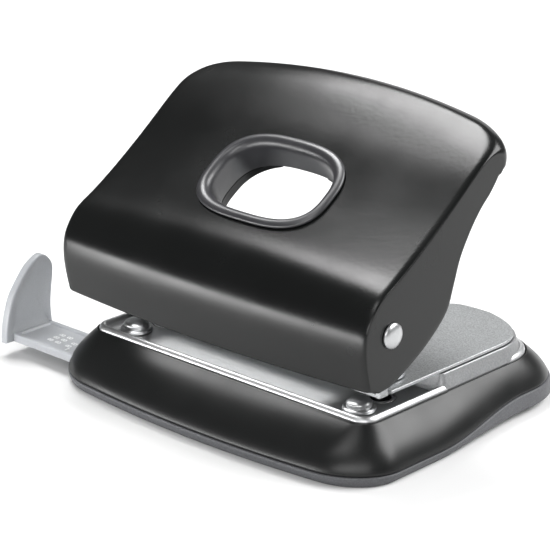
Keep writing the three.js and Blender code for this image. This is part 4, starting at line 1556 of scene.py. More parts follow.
@dataclass
class PunchBracket:
    """The grained steel bracket: a floor over the platform and an upright ear at each side."""

    front_back: float = 7.0
    rear_inset: float = 1.1
    corner: float = 17.0
    notch: float = 2.0
    ear_neck: float = 3.2
    ear_neck_rise: float = 3.0
    ear_head_radius: float = 7.4
    ear_root: float = 0.05
    ear_inset: float = 0.01
    ear_steps: int = 32
    edge: float = 0.3
    bush_hole: float = 4.2
    rivet_radius: float = 3.0
    rivet_dome: float = 1.1
    rivet_foot: float = 1.0
    rivet_root: float = 1.3
    sharp: float = 30.0
    flat_sharp: float = 60.0
    rivet_shares: tuple[Pair, ...] = ((0.26, 0.42), (0.14, 0.76))

    @property
    def front(self) -> float:
        """Y of the floor's front edge."""
        return PLATE_FRONT + self.front_back

    @property
    def rear(self) -> float:
        """Y of the floor's rear edge."""
        return PLATE_REAR - self.rear_inset

    def floor_loop(self) -> np.ndarray:
        """Draws the floor's outline, with round rear corners and a shallow waist in the rear edge.

        Returns:
            The loop's points.
        """
        half, front, rear = EAR_OUTER, self.front, self.rear
        corner, notch = self.corner, self.notch
        notch_half = 2 * half / 5
        right = [(half, front), (half, rear - corner)]
        right += quadratic(right[-1], (half, rear - corner / 4), (half - corner, rear))
        right += quadratic(right[-1], (notch_half + notch, rear + notch / 4), (notch_half, rear - notch))
        left = [(-x, y) for x, y in reversed(right)]
        return np.array(right + left)

    def ear_loop(self) -> np.ndarray:
        """Draws an ear's outline.

        Returns:
            The loop's points in (y, z).
        """
        front, neck = self.front, self.front + self.ear_neck
        low, rise = BRACKET_UNDER + self.ear_root, BRACKET_TOP + self.ear_neck_rise
        points = [(front, low), (neck, low), (neck, rise)]
        for step in range(self.ear_steps + 1):
            angle = HALF_TURN * step / self.ear_steps
            points.append((PIVOT_Y + self.ear_head_radius * math.cos(angle),
                           PIVOT_Z + self.ear_head_radius * math.sin(angle)))
        points.append((front, rise))
        return np.array(points)

    def ear(self, side: Side) -> Draft:
        """Makes one ear.

        Args:
            side: The ear's side.

        Returns:
            The draft.
        """
        outer = EAR_OUTER
        ends = sorted(side.value * x for x in (outer - LAYOUT.ear_sheet, outer - self.ear_inset))
        return plate_draft(self.ear_loop(), *ends, self.edge, Axis.ACROSS)

    def relief(self, side: Side) -> Draft:
        """Makes the body that cuts the bend relief behind one ear.

        Args:
            side: The ear's side.

        Returns:
            The draft.
        """
        outer, sheet = EAR_OUTER, LAYOUT.ear_sheet
        x0, x1 = sorted(side.value * x for x in (outer - 2 * sheet, outer + CUT_OVERRUN))
        back = self.front + self.ear_neck
        relief = Draft()
        relief.box((x0, back, BRACKET_UNDER - CUT_OVERRUN),
                   (x1, back + sheet, BRACKET_TOP + LAYOUT.seat))
        return relief

    def build(self) -> None:
        """Builds the bracket with its holes, and its rivets."""
        under, top = BRACKET_UNDER, BRACKET_TOP
        bracket = plate_draft(self.floor_loop(), under, top, self.edge).make("bracket_body", self.flat_sharp)
        cuts = []
        for side in Side:
            punch = (side.value * PUNCH_X, PUNCH_BACK, 0)
            cuts.append(self.relief(side))
            cuts.append(drill(self.bush_hole, under - CUT_OVERRUN, top + CUT_OVERRUN, punch))
        cuts.append(pivot_hole())
        carve(bracket, [self.ear(side) for side in Side], union=True, sharp=self.sharp)
        carve(bracket, cuts, sharp=self.sharp)
        seat_piece(bracket, BRACKET_STEEL, "base", ["punch_bracket"])
        rivet = DomedRivet(self.rivet_radius, top + LAYOUT.seat, self.rivet_dome, self.rivet_radius / 2,
                           self.rivet_foot, PLATFORM_TOP - self.rivet_root)
        number = 0
        for across, back in self.rivet_shares:
            for sign in (-1, 1):
                number += 1
                y = self.front + back * (self.rear - self.front)
                made = rivet.draft(sign * across * 2 * EAR_OUTER, y).make(f"bracket_fixing_{number}")
                seat_piece(made, PLAIN_STEEL, "base", [f"bracket_rivet_{number}"])


# punches


@dataclass
class PunchUnit:
    """One punch with its die, guide bush, collar and return spring."""

    side: Side
    radius: float = 2.75
    clearance: float = 0.12
    die_radius: float = 5.2
    die_depth: float = 3.6
    bush_radius: float = 3.9
    bush_flange_radius: float = 6.4
    bush_flange: float = 1.2
    bush_height: float = 7.0
    neck_radius: float = 2.2
    collar_radius: float = 6.6
    collar_thick: float = 1.2
    collar_drop: float = 3.5
    tip_rise: float = 0.5
    wire: float = 0.9
    spring_radius: float = 5.3
    spring_turns: int = 6
    closed_end_share: float = 0.08
    wire_end_share: float = 0.8
    travel: float = 8.1

    @property
    def place(self) -> Triple:
        """The foot of the punch's axis."""
        return (self.side.value * PUNCH_X, PUNCH_BACK, 0.0)

    @property
    def collar_top(self) -> float:
        """Height of the collar's seat."""
        return PUNCH_TOP - self.collar_drop

    @property
    def spring_bottom(self) -> float:
        """Height of the spring's foot."""
        return BRACKET_TOP + 2 * LAYOUT.seat + self.bush_flange

    @property
    def spring_top(self) -> float:
        """Height of the spring's head."""
        return self.collar_top - self.clearance - self.collar_thick - LAYOUT.seat

    def die(self) -> Draft:
        """Makes the die bush.

        Returns:
            The draft.
        """
        bore, spigot = self.radius + self.clearance, self.die_radius - LAYOUT.plate_sheet - LAYOUT.seat
        low, flange = FLOOR_UNDER - self.die_depth, FLOOR_UNDER - LAYOUT.seat
        return turned_draft([
            (bore + 0.3, low, 0), (self.die_radius, low, 0.3), (self.die_radius, flange, 0.2),
            (spigot, flange, 0), (spigot, FLOOR_TOP, 0.12), (bore, FLOOR_TOP, 0.1),
            (bore, low + 0.4, 0),
        ], place=self.place, bored=True)

    def bush(self) -> Draft:
        """Makes the guide bush in the bracket.

        Returns:
            The draft.
        """
        bore = self.radius + self.clearance
        under = BRACKET_TOP + LAYOUT.seat
        low, high = BRACKET_UNDER - LAYOUT.seat, BRACKET_UNDER + self.bush_height
        return turned_draft([
            (bore, low, 0), (self.bush_radius, low, 0.2), (self.bush_radius, under, 0),
            (self.bush_flange_radius, under, 0.2),
            (self.bush_flange_radius, under + self.bush_flange, 0.3),
            (self.bush_radius, under + self.bush_flange, 0.15), (self.bush_radius, high, 0.4),
            (bore, high, 0.15), (bore, low + 0.2, 0),
        ], place=self.place, bored=True)

    def pin(self) -> Draft:
        """Makes the punch pin.

        Returns:
            The draft.
        """
        groove = self.collar_top - (self.collar_thick + 2 * self.clearance)
        tip, top = BRACKET_UNDER + self.tip_rise, PUNCH_TOP
        return turned_draft([
            (0, tip + self.radius / 3, 0), (self.radius, tip, 0.05),
            (self.radius, groove, 0.15), (self.neck_radius, groove, 0.05),
            (self.neck_radius, self.collar_top, 0.05), (self.radius, self.collar_top, 0.15),
            (self.radius, top - self.radius / 3, 0.5), (self.neck_radius, top, 0.5),
            (0, top, 0),
        ], place=self.place)

    def collar(self) -> Draft:
        """Makes the collar that the spring lifts.

        Returns:
            The draft.
        """
        bore, top = self.neck_radius + self.clearance, self.collar_top - self.clearance
        low = top - self.collar_thick
        return turned_draft([
            (bore, low, 0), (self.collar_radius, low, 0.25), (self.collar_radius, top, 0.25),
            (bore, top, 0.1), (bore, low + 0.1, 0),
        ], place=self.place, bored=True)

    def spring(self, steps: int = 56, sides: int = 14) -> Draft:
        """Makes the spring as one tube along a coil with closed ends.

        Args:
            steps: Steps for each turn.
            sides: Sides of the wire.

        Returns:
            The draft.
        """
        count = self.spring_turns * steps
        shares = np.arange(count + 1) / count
        angles = shares * self.spring_turns * FULL_TURN
        thick = self.wire / 2
        climb = smooth(-self.closed_end_share, 1 + self.closed_end_share, shares)
        heights = lerp(self.spring_bottom + thick, self.spring_top - thick, climb)
        across, back = self.spring_radius * np.cos(angles), self.spring_radius * np.sin(angles)
        middle = np.stack([across, back, heights], axis=1) + np.array(self.place)
        tangents = np.gradient(middle, axis=0)
        tangents /= np.linalg.norm(tangents, axis=1, keepdims=True)
        outward = np.stack([np.cos(angles), np.sin(angles), np.zeros(count + 1)], axis=1)
        upward = np.cross(tangents, outward)
        rings = []
        turns = np.arange(sides) / sides * FULL_TURN
        for i in range(count + 1):
            size = thick * (self.wire_end_share if i in (0, count) else 1.0)
            around = np.outer(np.cos(turns), outward[i]) + np.outer(np.sin(turns), upward[i])
            rings.append(middle[i] + size * around)
        draft = Draft()
        draft.loft(rings)
        return draft

    def build(self) -> None:
        """Builds the unit's five pieces; the spring gets a mesh of its own."""
        word = self.side.word
        pieces = (
            (self.die(), "die", HARD_STEEL, "base", "die_bush"),
            (self.bush(), "guide_sleeve", PLAIN_STEEL, "base", "guide_bush"),
            (self.pin(), "pin", HARD_STEEL, f"punch_{word}", "punch_pin"),
            (self.collar(), "collar", PLAIN_STEEL, f"punch_{word}", "spring_collar"),
            (self.spring(), "coil", SPRING_STEEL, "base", "return_spring"),
        )
        for draft, name, finish, body, node in pieces:
            made = seat_piece(draft.make(f"{name}_{word}"), finish, body, [f"{node}_{word}"])
        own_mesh(made)


# lever: shares of its reach and rise, along its middle, its fold and its hem


MIDDLE_RAIL = (
    (0.026, 0.016), (0.007, 0.123), (0, 0.211), (0.01, 0.291), (0.044, 0.36), (0.1, 0.427),
    (0.191, 0.496), (0.294, 0.571), (0.412, 0.656), (0.537, 0.749), (0.654, 0.842), (0.759, 0.925),
    (0.829, 0.974), (0.885, 1), (0.941, 0.982), (0.984, 0.938), (1, 0.878), (0.996, 0.826),
)
SIDE_RAIL = (
    (0.057, 0.032), (0.036, 0.135), (0.029, 0.215), (0.037, 0.284), (0.064, 0.336), (0.112, 0.394),
    (0.198, 0.452), (0.299, 0.52), (0.42, 0.608), (0.546, 0.703), (0.652, 0.792), (0.714, 0.839),
    (0.752, 0.853), (0.78, 0.853), (0.801, 0.842), (0.812, 0.826), (0.814, 0.808), (0.81, 0.789),
)
EDGE_RAIL = (
    (0.108, 0.012), (0.161, 0.023), (0.227, 0.055), (0.29, 0.092), (0.352, 0.13), (0.412, 0.176),
    (0.461, 0.22), (0.495, 0.263), (0.515, 0.319), (0.535, 0.383), (0.558, 0.453), (0.593, 0.52),
    (0.638, 0.591), (0.685, 0.652), (0.729, 0.695), (0.764, 0.74), (0.786, 0.77), (0.795, 0.77),
)
EYE_STEPS = 176
EYE_ANGLES = np.arange(EYE_STEPS) / EYE_STEPS * FULL_TURN


@dataclass
class Lever:
    """The lever: one bent sheet with a crowned top, folded sides and a rolled rear edge."""

    fold_radius: float = 2.2
    rear_corner_radius: float = 18.0
    front_crown: float = 0.7
    rear_crown: float = 0.5
    roll_start: float = 0.6
    roll_end: float = 0.9
    rail_steps: int = 170
    soften: float = 2.4
    front_swell: Triple = (0.7, -39.5, 6.0)
    upper_swell: Triple = (0.5, -5.0, 9.0)
    top_steps: int = 46
    fold_steps: int = 16
    side_steps: int = 22
    rim_steps: int = 6
    eye_width: float = 44.6
    eye_length: float = 29.4
    eye_back: float = 18.9
    eye_rim: float = 3.5
    eye_wall: float = 1.5
    eye_power: float = 2.8
    eye_span_share: float = 0.4
    eye_cut: float = 10.0
    top_start_share: float = 0.24
    top_end_share: float = 0.72
    sharp: float = 60.0
    middle: np.ndarray = field(init=False)
    flank: np.ndarray = field(init=False)
    hem: np.ndarray = field(init=False)

    def __post_init__(self) -> None:
        """Samples the three rails that the sheet is bent along."""
        tables = (MIDDLE_RAIL, SIDE_RAIL, EDGE_RAIL)
        self.middle, self.flank, self.hem = (self.rail(table) for table in tables)

    def rail(self, table: Sequence[Pair]) -> np.ndarray:
        """Samples a rail.

        Args:
            table: Its points as shares of the lever's reach and rise.

        Returns:
            The rail's points in (y, z).
        """
        start = np.array([LEVER_FRONT, LEVER_BOTTOM])
        knots = start + np.array(table) * np.array([LAYOUT.lever_reach, LAYOUT.lever_rise])
        line = softened(rail_curve(knots, self.rail_steps), self.soften)
        for height, middle, width in (self.front_swell, self.upper_swell):
            line[:, 1] += height * np.exp(-((line[:, 0] - middle) / width) ** 2)
        return line

    def row(self, i: int) -> np.ndarray:
        """Makes one row of the outer face, from the left hem over the top to the right hem.

        Args:
            i: The step along the rails.

        Returns:
            The row's points.
        """
        turn = float(smooth(self.roll_start, self.roll_end, i / self.rail_steps))
        radius = lerp(self.fold_radius, self.rear_corner_radius, turn)
        crown = lerp(self.front_crown, self.rear_crown, turn)
        half = LEVER_HALF
        flat = np.arange(self.top_steps) / self.top_steps * (half - radius)
        turns = np.arange(self.fold_steps + 1) / self.fold_steps * QUARTER_TURN
        fold = half - radius + radius * np.sin(turns)
        x = np.concatenate([flat, fold])
        into = np.maximum(x - (half - radius), 0) / radius
        share = crown * (x / half) ** 2 + (1 - crown) * (1 - np.sqrt(np.maximum(1 - into * into, 0)))
        top = self.middle[i] + np.outer(share, self.flank[i] - self.middle[i])
        down = np.arange(1, self.side_steps + 1) / self.side_steps
        side = self.flank[i] + np.outer(down, self.hem[i] - self.flank[i])
        side = np.column_stack([np.full(self.side_steps, half), side])
        right = np.concatenate([np.column_stack([x, top]), side])
        left = right[:0:-1] * np.array([-1.0, 1.0, 1.0])
        return np.concatenate([left, right])

    def grid(self) -> np.ndarray:
        """Returns the outer face as a grid of points, from the front hem to the rear edge."""
        return np.array([self.row(i) for i in range(self.rail_steps + 1)])

    def sheet(self) -> Draft:
        """Makes the sheet: an outer face, an inner face and a rounded rim between them.

        Returns:
            The draft.
        """
        outer = self.grid()
        along = np.gradient(outer, axis=0)
        across = np.gradient(outer, axis=1)
        normal = np.cross(along, across)
        normal /= np.linalg.norm(normal, axis=2, keepdims=True)
        thick = LAYOUT.lever_sheet
        inner = outer + normal * thick
        draft = Draft()
        rows, columns = outer.shape[:2]
        numbers = [
            np.array(draft.add_points(face.reshape(-1, 3))).reshape(rows, columns)
            for face in (outer, inner)
        ]
        for face in numbers:
            for i in range(rows - 1):
                draft.strip(list(face[i]), list(face[i + 1]), closed=False)
        border = [(0, j) for j in range(columns)] + [(i, columns - 1) for i in range(1, rows)]
        border += [(rows - 1, j) for j in range(columns - 2, -1, -1)]
        border += [(i, 0) for i in range(rows - 2, 0, -1)]
        edge = np.array([outer[place] for place in border])
        inward = np.array([normal[place] for place in border])
        tangent = np.roll(edge, -1, axis=0) - np.roll(edge, 1, axis=0)
        outward = np.cross(tangent, inward)
        outward /= np.maximum(np.linalg.norm(outward, axis=1, keepdims=True), TINY)
        middle_point = outer[rows // 2, columns // 2]
        if ((edge[0] - middle_point) * outward[0]).sum() < 0:
            outward = -outward
        loops = [[int(numbers[0][place]) for place in border]]
        for step in range(1, self.rim_steps):
            turn = HALF_TURN * step / self.rim_steps
            offset = inward * thick / 2 * (1 - math.cos(turn)) + outward * thick / 2 * math.sin(turn)
            loops.append(draft.add_points(edge + offset))
        loops.append([int(numbers[1][place]) for place in border])
        for lower, upper in zip(loops, loops[1:]):
            draft.strip(lower, upper)
        return draft

    def top_at(self, x: np.ndarray, y: np.ndarray) -> np.ndarray:
        """Finds the heights of the lever's top between the front bend and the rear roll.

        Args:
            x: The X of each place.
            y: The Y of each place.

        Returns:
            The heights.
        """
        made = []
        low = int(self.rail_steps * self.top_start_share)
        high = int(self.rail_steps * self.top_end_share)
        for px, py in zip(x, y):
            share = self.front_crown * (px / LEVER_HALF) ** 2
            line = self.middle[low:high] + share * (self.flank[low:high] - self.middle[low:high])
            made.append(np.interp(py, line[:, 0], line[:, 1]))
        return np.array(made)

    @property
    def eye_y(self) -> float:
        """Y of the finger opening's middle."""
        return PLATE_FRONT + self.eye_back

    @property
    def slope(self) -> float:
        """The slope of the lever's top at the finger opening, as an angle.

        Returns:
            The angle.
        """
        span = self.eye_length * self.eye_span_share
        heights = self.top_at(np.zeros(2), np.array([self.eye_y - span, self.eye_y + span]))
        return math.atan2(heights[1] - heights[0], 2 * span)

    def eye_ring(self, by: float, rise: float | np.ndarray, angles: np.ndarray | None = None) -> np.ndarray:
        """Returns a ring, or a part of one, round the finger opening.

        Args:
            by: How far in from the collar's outer edge it lies.
            rise: How far it stands off the lever's top.
            angles: Where its points lie round the opening; all round where none are given.

        Returns:
            The ring's points.
        """
        angles = EYE_ANGLES if angles is None else angles
        power = 2 / self.eye_power
        c = np.abs(np.cos(angles)) ** power * np.sign(np.cos(angles))
        s = np.abs(np.sin(angles)) ** power * np.sign(np.sin(angles))
        x = (self.eye_width / 2 - by) * c
        y = self.eye_y + (self.eye_length / 2 - by) * s * math.cos(self.slope)
        z = self.top_at(x, y) + rise * math.cos(self.slope)
        return np.column_stack([x, y - rise * math.sin(self.slope), z])

    def build(self) -> None:
        """Builds the sheet with its opening and pivot holes."""
        sheet = self.sheet().make("lever_sheet", self.sharp)
        hole = self.eye_rim - self.eye_wall - LAYOUT.seat
        opening = Draft()
        opening.loft([self.eye_ring(hole, -self.eye_cut), self.eye_ring(hole, self.eye_cut)])
        carve(sheet, [opening, pivot_hole()], sharp=self.sharp)
        seat_piece(sheet, LEVER_PAINT, "lever", ["lever_handle"])


@dataclass
class GripRing:
    """The dark collar that lines the finger opening."""

    lever: Lever
    depth: float = 7.4
    dip: float = 0.9
    rise: float = 1.05
    edge_rise: float = 0.25
    fall: float = 2.6
    crest_share: float = 0.42
    clip_depth: float = 2.2
    clip_wall: float = 0.9
    clip_reach: float = 1.25
    clip_edge: float = 0.2
    clip_power: float = 2.2
    clip_steps: int = 60
    foot_round: float = 0.2
    foot_lap: float = 0.4
    steps: int = 9

    def section(self) -> list[Pair]:
        """Draws the collar's section.

        Returns:
            Rows of (distance in from its edge, rise off the lever).
        """
        rim, wall, seat = self.lever.eye_rim, self.lever.eye_rim - self.lever.eye_wall, LAYOUT.seat
        crest, top = rim * self.crest_share, seat + self.rise
        turns = quarter(self.steps)
        low = seat + self.edge_rise
        outer = [(crest * (1 - math.cos(turn)), lerp(low, top, math.sin(turn))) for turn in turns]
        inner = [
            (lerp(crest, rim, math.sin(turn)), top - self.fall * (1 - math.cos(turn)))
            for turn in turns[1:]
        ]
        corners = [
            (rim, seat, 0.0), (rim, -self.depth, self.foot_round), (wall + self.foot_lap, -self.depth, 0.0)
        ]
        foot = rounded_path(corners)[1:]
        return [(wall, -self.depth), (wall, seat), (0.0, seat), *outer, *inner, *foot]

    def sunk(self, rise: float, angles: np.ndarray) -> np.ndarray:
        """Sinks the collar's foot deeper towards the rear."""
        share = min(max(-rise / self.depth, 0.0), 1.0)
        return rise - self.dip * share * (1 + np.sin(angles)) / 2

    def clip(self, side: Side) -> Draft:
        """Makes the black clip under one end of the collar.

        Args:
            side: The collar's end.

        Returns:
            The draft.
        """
        middle = 0.0 if side is Side.RIGHT else HALF_TURN
        shares = np.linspace(-1.0, 1.0, self.clip_steps + 1)
        angles = middle + shares * self.clip_reach
        top = self.sunk(-self.depth, angles) - LAYOUT.seat / 3
        low = top - self.clip_edge - self.clip_depth * (1 - np.abs(shares) ** self.clip_power)
        inner, outer = self.lever.eye_rim, self.lever.eye_rim - self.clip_wall
        corners = ((outer, top), (inner, top), (inner, low), (outer, low))
        lines = [self.lever.eye_ring(by, rise, angles) for by, rise in corners]
        draft = Draft()
        draft.loft([np.array([line[i] for line in lines]) for i in range(len(angles))])
        return draft

    def build(self) -> None:
        """Builds the collar and its clips, and seats them on the lever."""
        draft = Draft()
        section = self.section()
        rings = [self.lever.eye_ring(by, self.sunk(rise, EYE_ANGLES)) for by, rise in section]
        draft.loft(rings, closed=True)
        seat_piece(draft.make("grip_collar", 50.0), RING_PLASTIC, "lever", ["grip_ring"])
        for side in Side:
            seat_piece(self.clip(side).make(f"grip_clip_{side.word}"), SHELL_PLASTIC, "lever")


@dataclass
class Pivot:
    """One pivot of the lever: a domed rivet through the ear, and a washer."""

    side: Side
    head_radius: float = 3.45
    foot_radius: float = 3.7
    dome: float = 1.5
    head_seat: float = 0.1
    washer_radius: float = 5.0
    edge_share: float = 0.2
    dome_steps: int = 14

    def build(self) -> None:
        """Builds the rivet and the washer."""
        place, mirror, word = PIVOT_PLACE, self.side is Side.LEFT, self.side.word
        head_under = LEVER_HALF + self.head_seat
        foot = EAR_OUTER - LAYOUT.ear_sheet - LAYOUT.seat
        rivet = turned_draft([
            (0, foot - self.dome, 0), (self.foot_radius, foot - self.dome, 0.8),
            (self.foot_radius, foot, 0.15), (LAYOUT.pivot_radius, foot, 0),
            (LAYOUT.pivot_radius, head_under, 0), (self.head_radius, head_under, 0.08),
            *dome_corners(self.head_radius, head_under, self.dome, self.edge_share, self.dome_steps),
        ], Axis.ACROSS, place, mirror=mirror)
        seat_piece(rivet.make(f"pivot_pin_{word}"), RIVET_PLATING, "base", [f"pivot_rivet_{word}"])
        inner = FLANGE_OUTER + LAYOUT.seat
        outer = LEVER_HALF - LAYOUT.lever_sheet - LAYOUT.seat
        washer = turned_draft([
            (PIVOT_BORE, inner, 0), (self.washer_radius, inner, 0.3),
            (self.washer_radius, outer, 0.3), (PIVOT_BORE, outer, 0.1),
            (PIVOT_BORE, inner + 0.1, 0),
        ], Axis.ACROSS, place, bored=True, mirror=mirror)
        seat_piece(washer.make(f"pivot_spacer_{word}"), PLAIN_STEEL, "lever", [f"pivot_washer_{word}"])


# paper guide: the paddle's outline as shares of its width and height


PADDLE = (
    (0, 0), (0.01, 0.14), (0.05, 0.31), (0.16, 0.56), (0.275, 0.69), (0.39, 0.8), (0.515, 0.9),
    (0.65, 0.965), (0.77, 1), (0.88, 0.965), (0.985, 0.86), (1, 0.75), (0.955, 0.5), (0.935, 0.31),
    (0.955, 0.11),
)


@dataclass
class PaperGuide:
    """The grey paper guide: a bar with raised borders, a scale, and an upright paddle."""

    reach: float = 80.0
    length: float = 106.0
    corner: float = 0.5
    edge: float = 0.35
    border: float = 1.6
    recess: float = 0.5
    recess_corner: float = 0.6
    recess_lean: float = 0.25
    recess_lip: float = 0.2
    recess_over: float = 0.05
    paddle_width: float = 18.6
    paddle_height: float = 23.7
    paddle_thick: float = 2.5
    paddle_lead: float = 2.7
    paddle_round: float = 0.4
    paddle_round_steps: int = 4
    paddle_steps: int = 120
    paddle_soften: float = 2.0
    foot_steps: int = 8
    dish: float = 1.0
    dish_steps: int = 13
    dish_start_share: float = 0.02
    dish_full_share: float = 0.4
    dish_rebound_share: float = 0.3
    hub_back: float = 1.2
    hub_rise_share: float = 0.42
    number_rows: tuple[tuple[str, float], ...] = (
        ("8 8 8", -68.2), ("8 8 8", -65.0), ("8 8", -60.6), ("6 0", -48.1), ("5 5", -40.6)
    )
    number_size: float = 3.0
    number_lead: float = 3.4
    number_rise: float = 0.2
    tick_start: float = -60.0
    tick_count: int = 10
    tick_step: float = 3.75
    tick_half: float = 0.2
    tick_long: float = 1.6
    tick_short: float = 1.0
    sharp: float = 40.0

    @property
    def scale_level(self) -> float:
        """Height of the sunk scale face."""
        return GUIDE_TOP - self.recess

    def bar(self) -> Piece:
        """Builds the bar with its sunk scale face.

        Returns:
            The new object.
        """
        top, middle, half = GUIDE_TOP, GUIDE_MIDDLE, LAYOUT.guide_width / 2
        left, right, rim, lean = -self.reach, self.length - self.reach, self.border, self.recess_lean
        outline = rounded_rectangle((left, middle - half), (right, middle + half), self.corner)
        bar = plate_draft(outline, top - LAYOUT.guide_thick, top, self.edge).make("guide_bar", self.sharp)
        inner = rounded_rectangle(
            (left + rim, middle - half + rim), (right - rim, middle + half - rim), self.recess_corner
        )
        section = (
            (lean, self.scale_level), (0.0, self.scale_level + lean),
            (0.0, top - self.recess_lip), (-lean, top + self.recess_over),
            (-lean, top + CUT_OVERRUN),
        )
        sunk = Draft()
        sunk.loft([
            np.column_stack([offset_loop(inner, by), np.full(len(inner), height)])
            for by, height in section
        ])
        carve(bar, [sunk], sharp=self.sharp)
        return bar

    def paddle_loop(self) -> np.ndarray:
        """Draws the paddle's outline.

        Returns:
            The loop's points in (y, z).
        """
        y0 = GUIDE_MIDDLE - LAYOUT.guide_width / 2 - self.paddle_lead
        z0 = GUIDE_TOP - LAYOUT.guide_thick
        knots = np.array([(y0 + b * self.paddle_width, z0 + r * self.paddle_height) for b, r in PADDLE])
        curve = softened(rail_curve(knots, self.paddle_steps), self.paddle_soften)
        foot = np.linspace(y0 + self.paddle_width, y0, self.foot_steps + 1)[:-1]
        loop = np.concatenate([curve, np.column_stack([foot, np.full(len(foot), z0)])])
        return loop[::-1]

    def paddle(self) -> Draft:
        """Makes the paddle: rounded edges, and a soft hollow in the face that meets the paper.

        Returns:
            The draft.
        """
        loop, edge, turns = self.paddle_loop(), self.paddle_round, quarter(self.paddle_round_steps)
        face = -self.reach + LAYOUT.seat
        back = face - self.paddle_thick
        rims = [(edge * (1 - math.sin(turn)), back + edge * (1 - math.cos(turn))) for turn in turns]
        rims += [(edge * (1 - math.sin(turn)), face - edge * (1 - math.cos(turn))) for turn in turns[::-1]]
        rings = [np.column_stack([np.full(len(loop), x), offset_loop(loop, by)]) for by, x in rims]
        border = rings[-1]
        hub_height = GUIDE_TOP + self.paddle_height * self.hub_rise_share
        hub = np.array([face, GUIDE_MIDDLE + self.hub_back, hub_height])
        start, full = self.dish_start_share, self.dish_full_share
        for step in range(1, self.dish_steps):
            share = step / self.dish_steps
            ring = hub + (border - hub) * (1 - share)
            rebound = self.dish_rebound_share * smooth(full, 1.0, share)
            ring[:, 0] = face - self.dish * float(smooth(start, full, share) - rebound)
            rings.append(ring)
        draft = Draft()
        draft.loft(rings)
        return draft

    def number(self, name: str, word: str, x: float, y: float) -> Piece:
        """Builds one raised number that is read from the right.

        Args:
            name: The piece's name.
            word: The digits.
            x: Where its foot lies.
            y: Where its first digit starts.

        Returns:
            The new object.
        """
        text = bpy.data.curves.new(name, "FONT")
        text.body = word
        text.size = self.number_size * MM
        text.extrude = self.number_rise * MM / 2
        source = bpy.data.objects.new(f"{name}_text", text)
        bpy.context.scene.collection.objects.link(source)
        graph = bpy.context.evaluated_depsgraph_get()
        mesh = bpy.data.meshes.new_from_object(source.evaluated_get(graph))
        bpy.data.objects.remove(source)
        for vertex in mesh.vertices:
            along, up, out = vertex.co
            vertex.co = (x * MM - up, y * MM + along, self.scale_level * MM + out)
        made = bpy.data.objects.new(name, mesh)
        bpy.context.scene.collection.objects.link(made)
        return made

    def ticks(self) -> Piece:
        """Builds the scale's raised ticks.

        Returns:
            The new object.
        """
        draft, level = Draft(), self.scale_level
        y0 = GUIDE_MIDDLE - LAYOUT.guide_width / 2 + self.border + self.recess
        for index in range(self.tick_count):
            x = self.tick_start + index * self.tick_step
            reach = self.tick_long if index % 2 == 0 else self.tick_short
            low = (x - self.tick_half, y0, level - self.number_rise)
            draft.box(low, (x + self.tick_half, y0 + reach, level + self.number_rise))
        return draft.make("scale_ticks")

    def build(self) -> None:
        """Builds the guide and seats it on its own body."""
        seat_piece(self.bar(), GUIDE_PLASTIC, "guide", ["paper_guide"])
        seat_piece(self.paddle().make("guide_paddle", self.sharp), GUIDE_PLASTIC, "guide")
        y = GUIDE_MIDDLE - self.number_lead
        for index, (word, x) in enumerate(self.number_rows):
            seat_piece(self.number(f"scale_number_{index + 1}", word, x, y), GUIDE_PRINT, "guide")
        seat_piece(self.ticks(), GUIDE_PRINT, "guide")


# studio


def stand(made: Piece, place: Triple, aim: Triple) -> None:
    """Puts a lamp or the camera in its place and aims it.

    Args:
        made: The lamp or camera.
        place: Its place in millimetres.
        aim: The point in millimetres that it looks at.
    """
    made.location = Vector(place) * MM
    made.rotation_euler = (Vector(aim) - Vector(place)).to_track_quat("-Z", "Y").to_euler()
    bpy.context.scene.collection.objects.link(made)


@dataclass(frozen=True)
class SoftBox:
    """A soft studio lamp, placed and aimed in millimetres."""

    name: str
    place: Triple
    aim: Triple
    size: Pair
    power: float

    def build(self) -> None:
        """Builds the lamp."""
        light = bpy.data.lights.new(self.name, "AREA")
        light.shape = "RECTANGLE"
        light.size, light.size_y = (value * MM for value in self.size)
        light.energy = self.power
        stand(bpy.data.objects.new(self.name, light), self.place, self.aim)


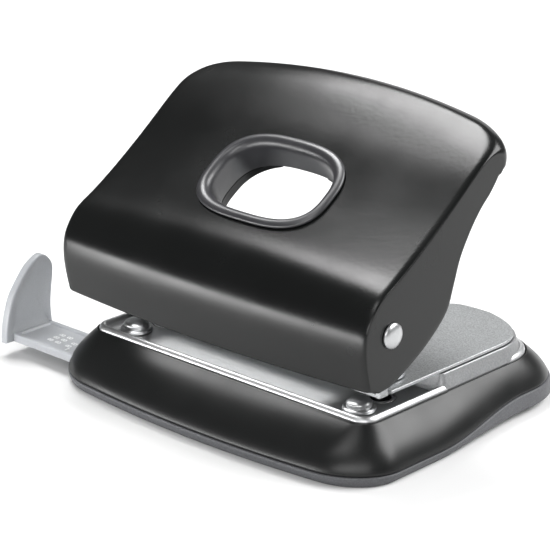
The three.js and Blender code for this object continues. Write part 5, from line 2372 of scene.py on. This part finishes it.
@dataclass
class Studio:
    """The pale floor, the soft light and the camera."""

    camera_place: Triple = (416.51, -461.46, 256.55)
    camera_aim: Triple = (-6.113, -10.173, 33.912)
    focal: float = 2400.0
    picture: float = 550.0
    sensor: float = 36.0
    floor_size: float = 8000.0
    clip: Pair = (0.01, 20.0)
    floor_color: Triple = (0.78, 0.78, 0.78)
    floor_shade: float = 0.985
    floor_cloud: float = 3.0
    floor_roughness: float = 0.9
    floor_specular: float = 0.1
    sky: float = 0.15
    contrast: float = 0.92
    lamps: tuple[SoftBox, ...] = (
        SoftBox("lamp_upper_left", (-463, 214, 973), (0, 0, 50), (500, 440), 9.8),
        SoftBox("lamp_low_left", (-165, -280, 14), (0, -20, 30), (260, 30), 0.12),
        SoftBox("lamp_low_front", (-60, -165, 17), (-10, -45, 13), (200, 30), 0.13),
        SoftBox("lamp_behind_right", (500, 470, 600), (0, 0, 30), (760, 540), 10.6),
        SoftBox("lamp_front", (20, -560, 950), (0, 0, 30), (400, 300), 1.9),
        SoftBox("lamp_by_camera", (400, -580, 300), (0, 0, 15), (640, 260), 2.2),
        SoftBox("lamp_behind_left", (-290, 560, 230), (0, -10, 30), (320, 320), 0.3),
        SoftBox("lamp_under_lever", (0, -38, 29), (0, -33.5, 13.6), (84, 6), 0.0105),
    )

    def floor(self) -> None:
        """Builds the pale floor."""
        half = self.floor_size / 2
        draft = Draft()
        draft.cap(draft.add_points([(-half, -half, 0), (half, -half, 0), (half, half, 0), (-half, half, 0)]))
        floor = draft.make("floor")
        shader = Shader("pale_floor")
        cloud = shader.noise(self.floor_cloud, 2.0)
        shader.set(
            Base_Color=shader.blend(cloud, self.floor_color, scaled(self.floor_color, self.floor_shade)),
            Roughness=self.floor_roughness,
            Specular_IOR_Level=self.floor_specular,
        )
        floor.data.materials.append(shader.material)

    def build(self) -> None:
        """Builds the floor, the sky, the lamps and the camera."""
        self.floor()
        scene = bpy.context.scene
        world = bpy.data.worlds.new("studio")
        world.use_nodes = True
        sky = world.node_tree.nodes["Background"]
        sky.inputs["Color"].default_value = (1.0, 1.0, 1.0, 1.0)
        sky.inputs["Strength"].default_value = self.sky
        scene.world = world
        for lamp in self.lamps:
            lamp.build()
        camera = bpy.data.cameras.new("camera")
        camera.sensor_width = self.sensor
        camera.lens = self.focal / self.picture * self.sensor
        camera.clip_start, camera.clip_end = self.clip
        scene.camera = bpy.data.objects.new("camera", camera)
        stand(scene.camera, self.camera_place, self.camera_aim)
        scene.view_settings.view_transform = "Standard"
        scene.view_settings.gamma = self.contrast


# all together


def dress_yoke(frame: dict) -> None:
    """Gives the carried-over yoke its steel.

    Args:
        frame: The loaded frame.
    """
    yoke = frame["nodes"]["press_yoke"]
    yoke.data.materials.clear()
    yoke.data.materials.append(PLAIN_STEEL.material())
    LOG.info("press_yoke: carried over")


def main() -> None:
    """Builds the punch piece by piece."""
    logging.basicConfig(level=logging.INFO, format="%(name)s: %(message)s")
    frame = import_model()
    lever = Lever()
    parts = [
        BaseShell(), ChipTray(), DiePlate(), PlateFixings(), PunchBracket(), lever, GripRing(lever),
        PaperGuide(), Studio(),
    ]
    parts += [PunchUnit(side) for side in Side]
    parts += [Pivot(side) for side in Side]
    for part in parts:
        part.build()
    dress_yoke(frame)


if __name__ == "__main__":
    main()
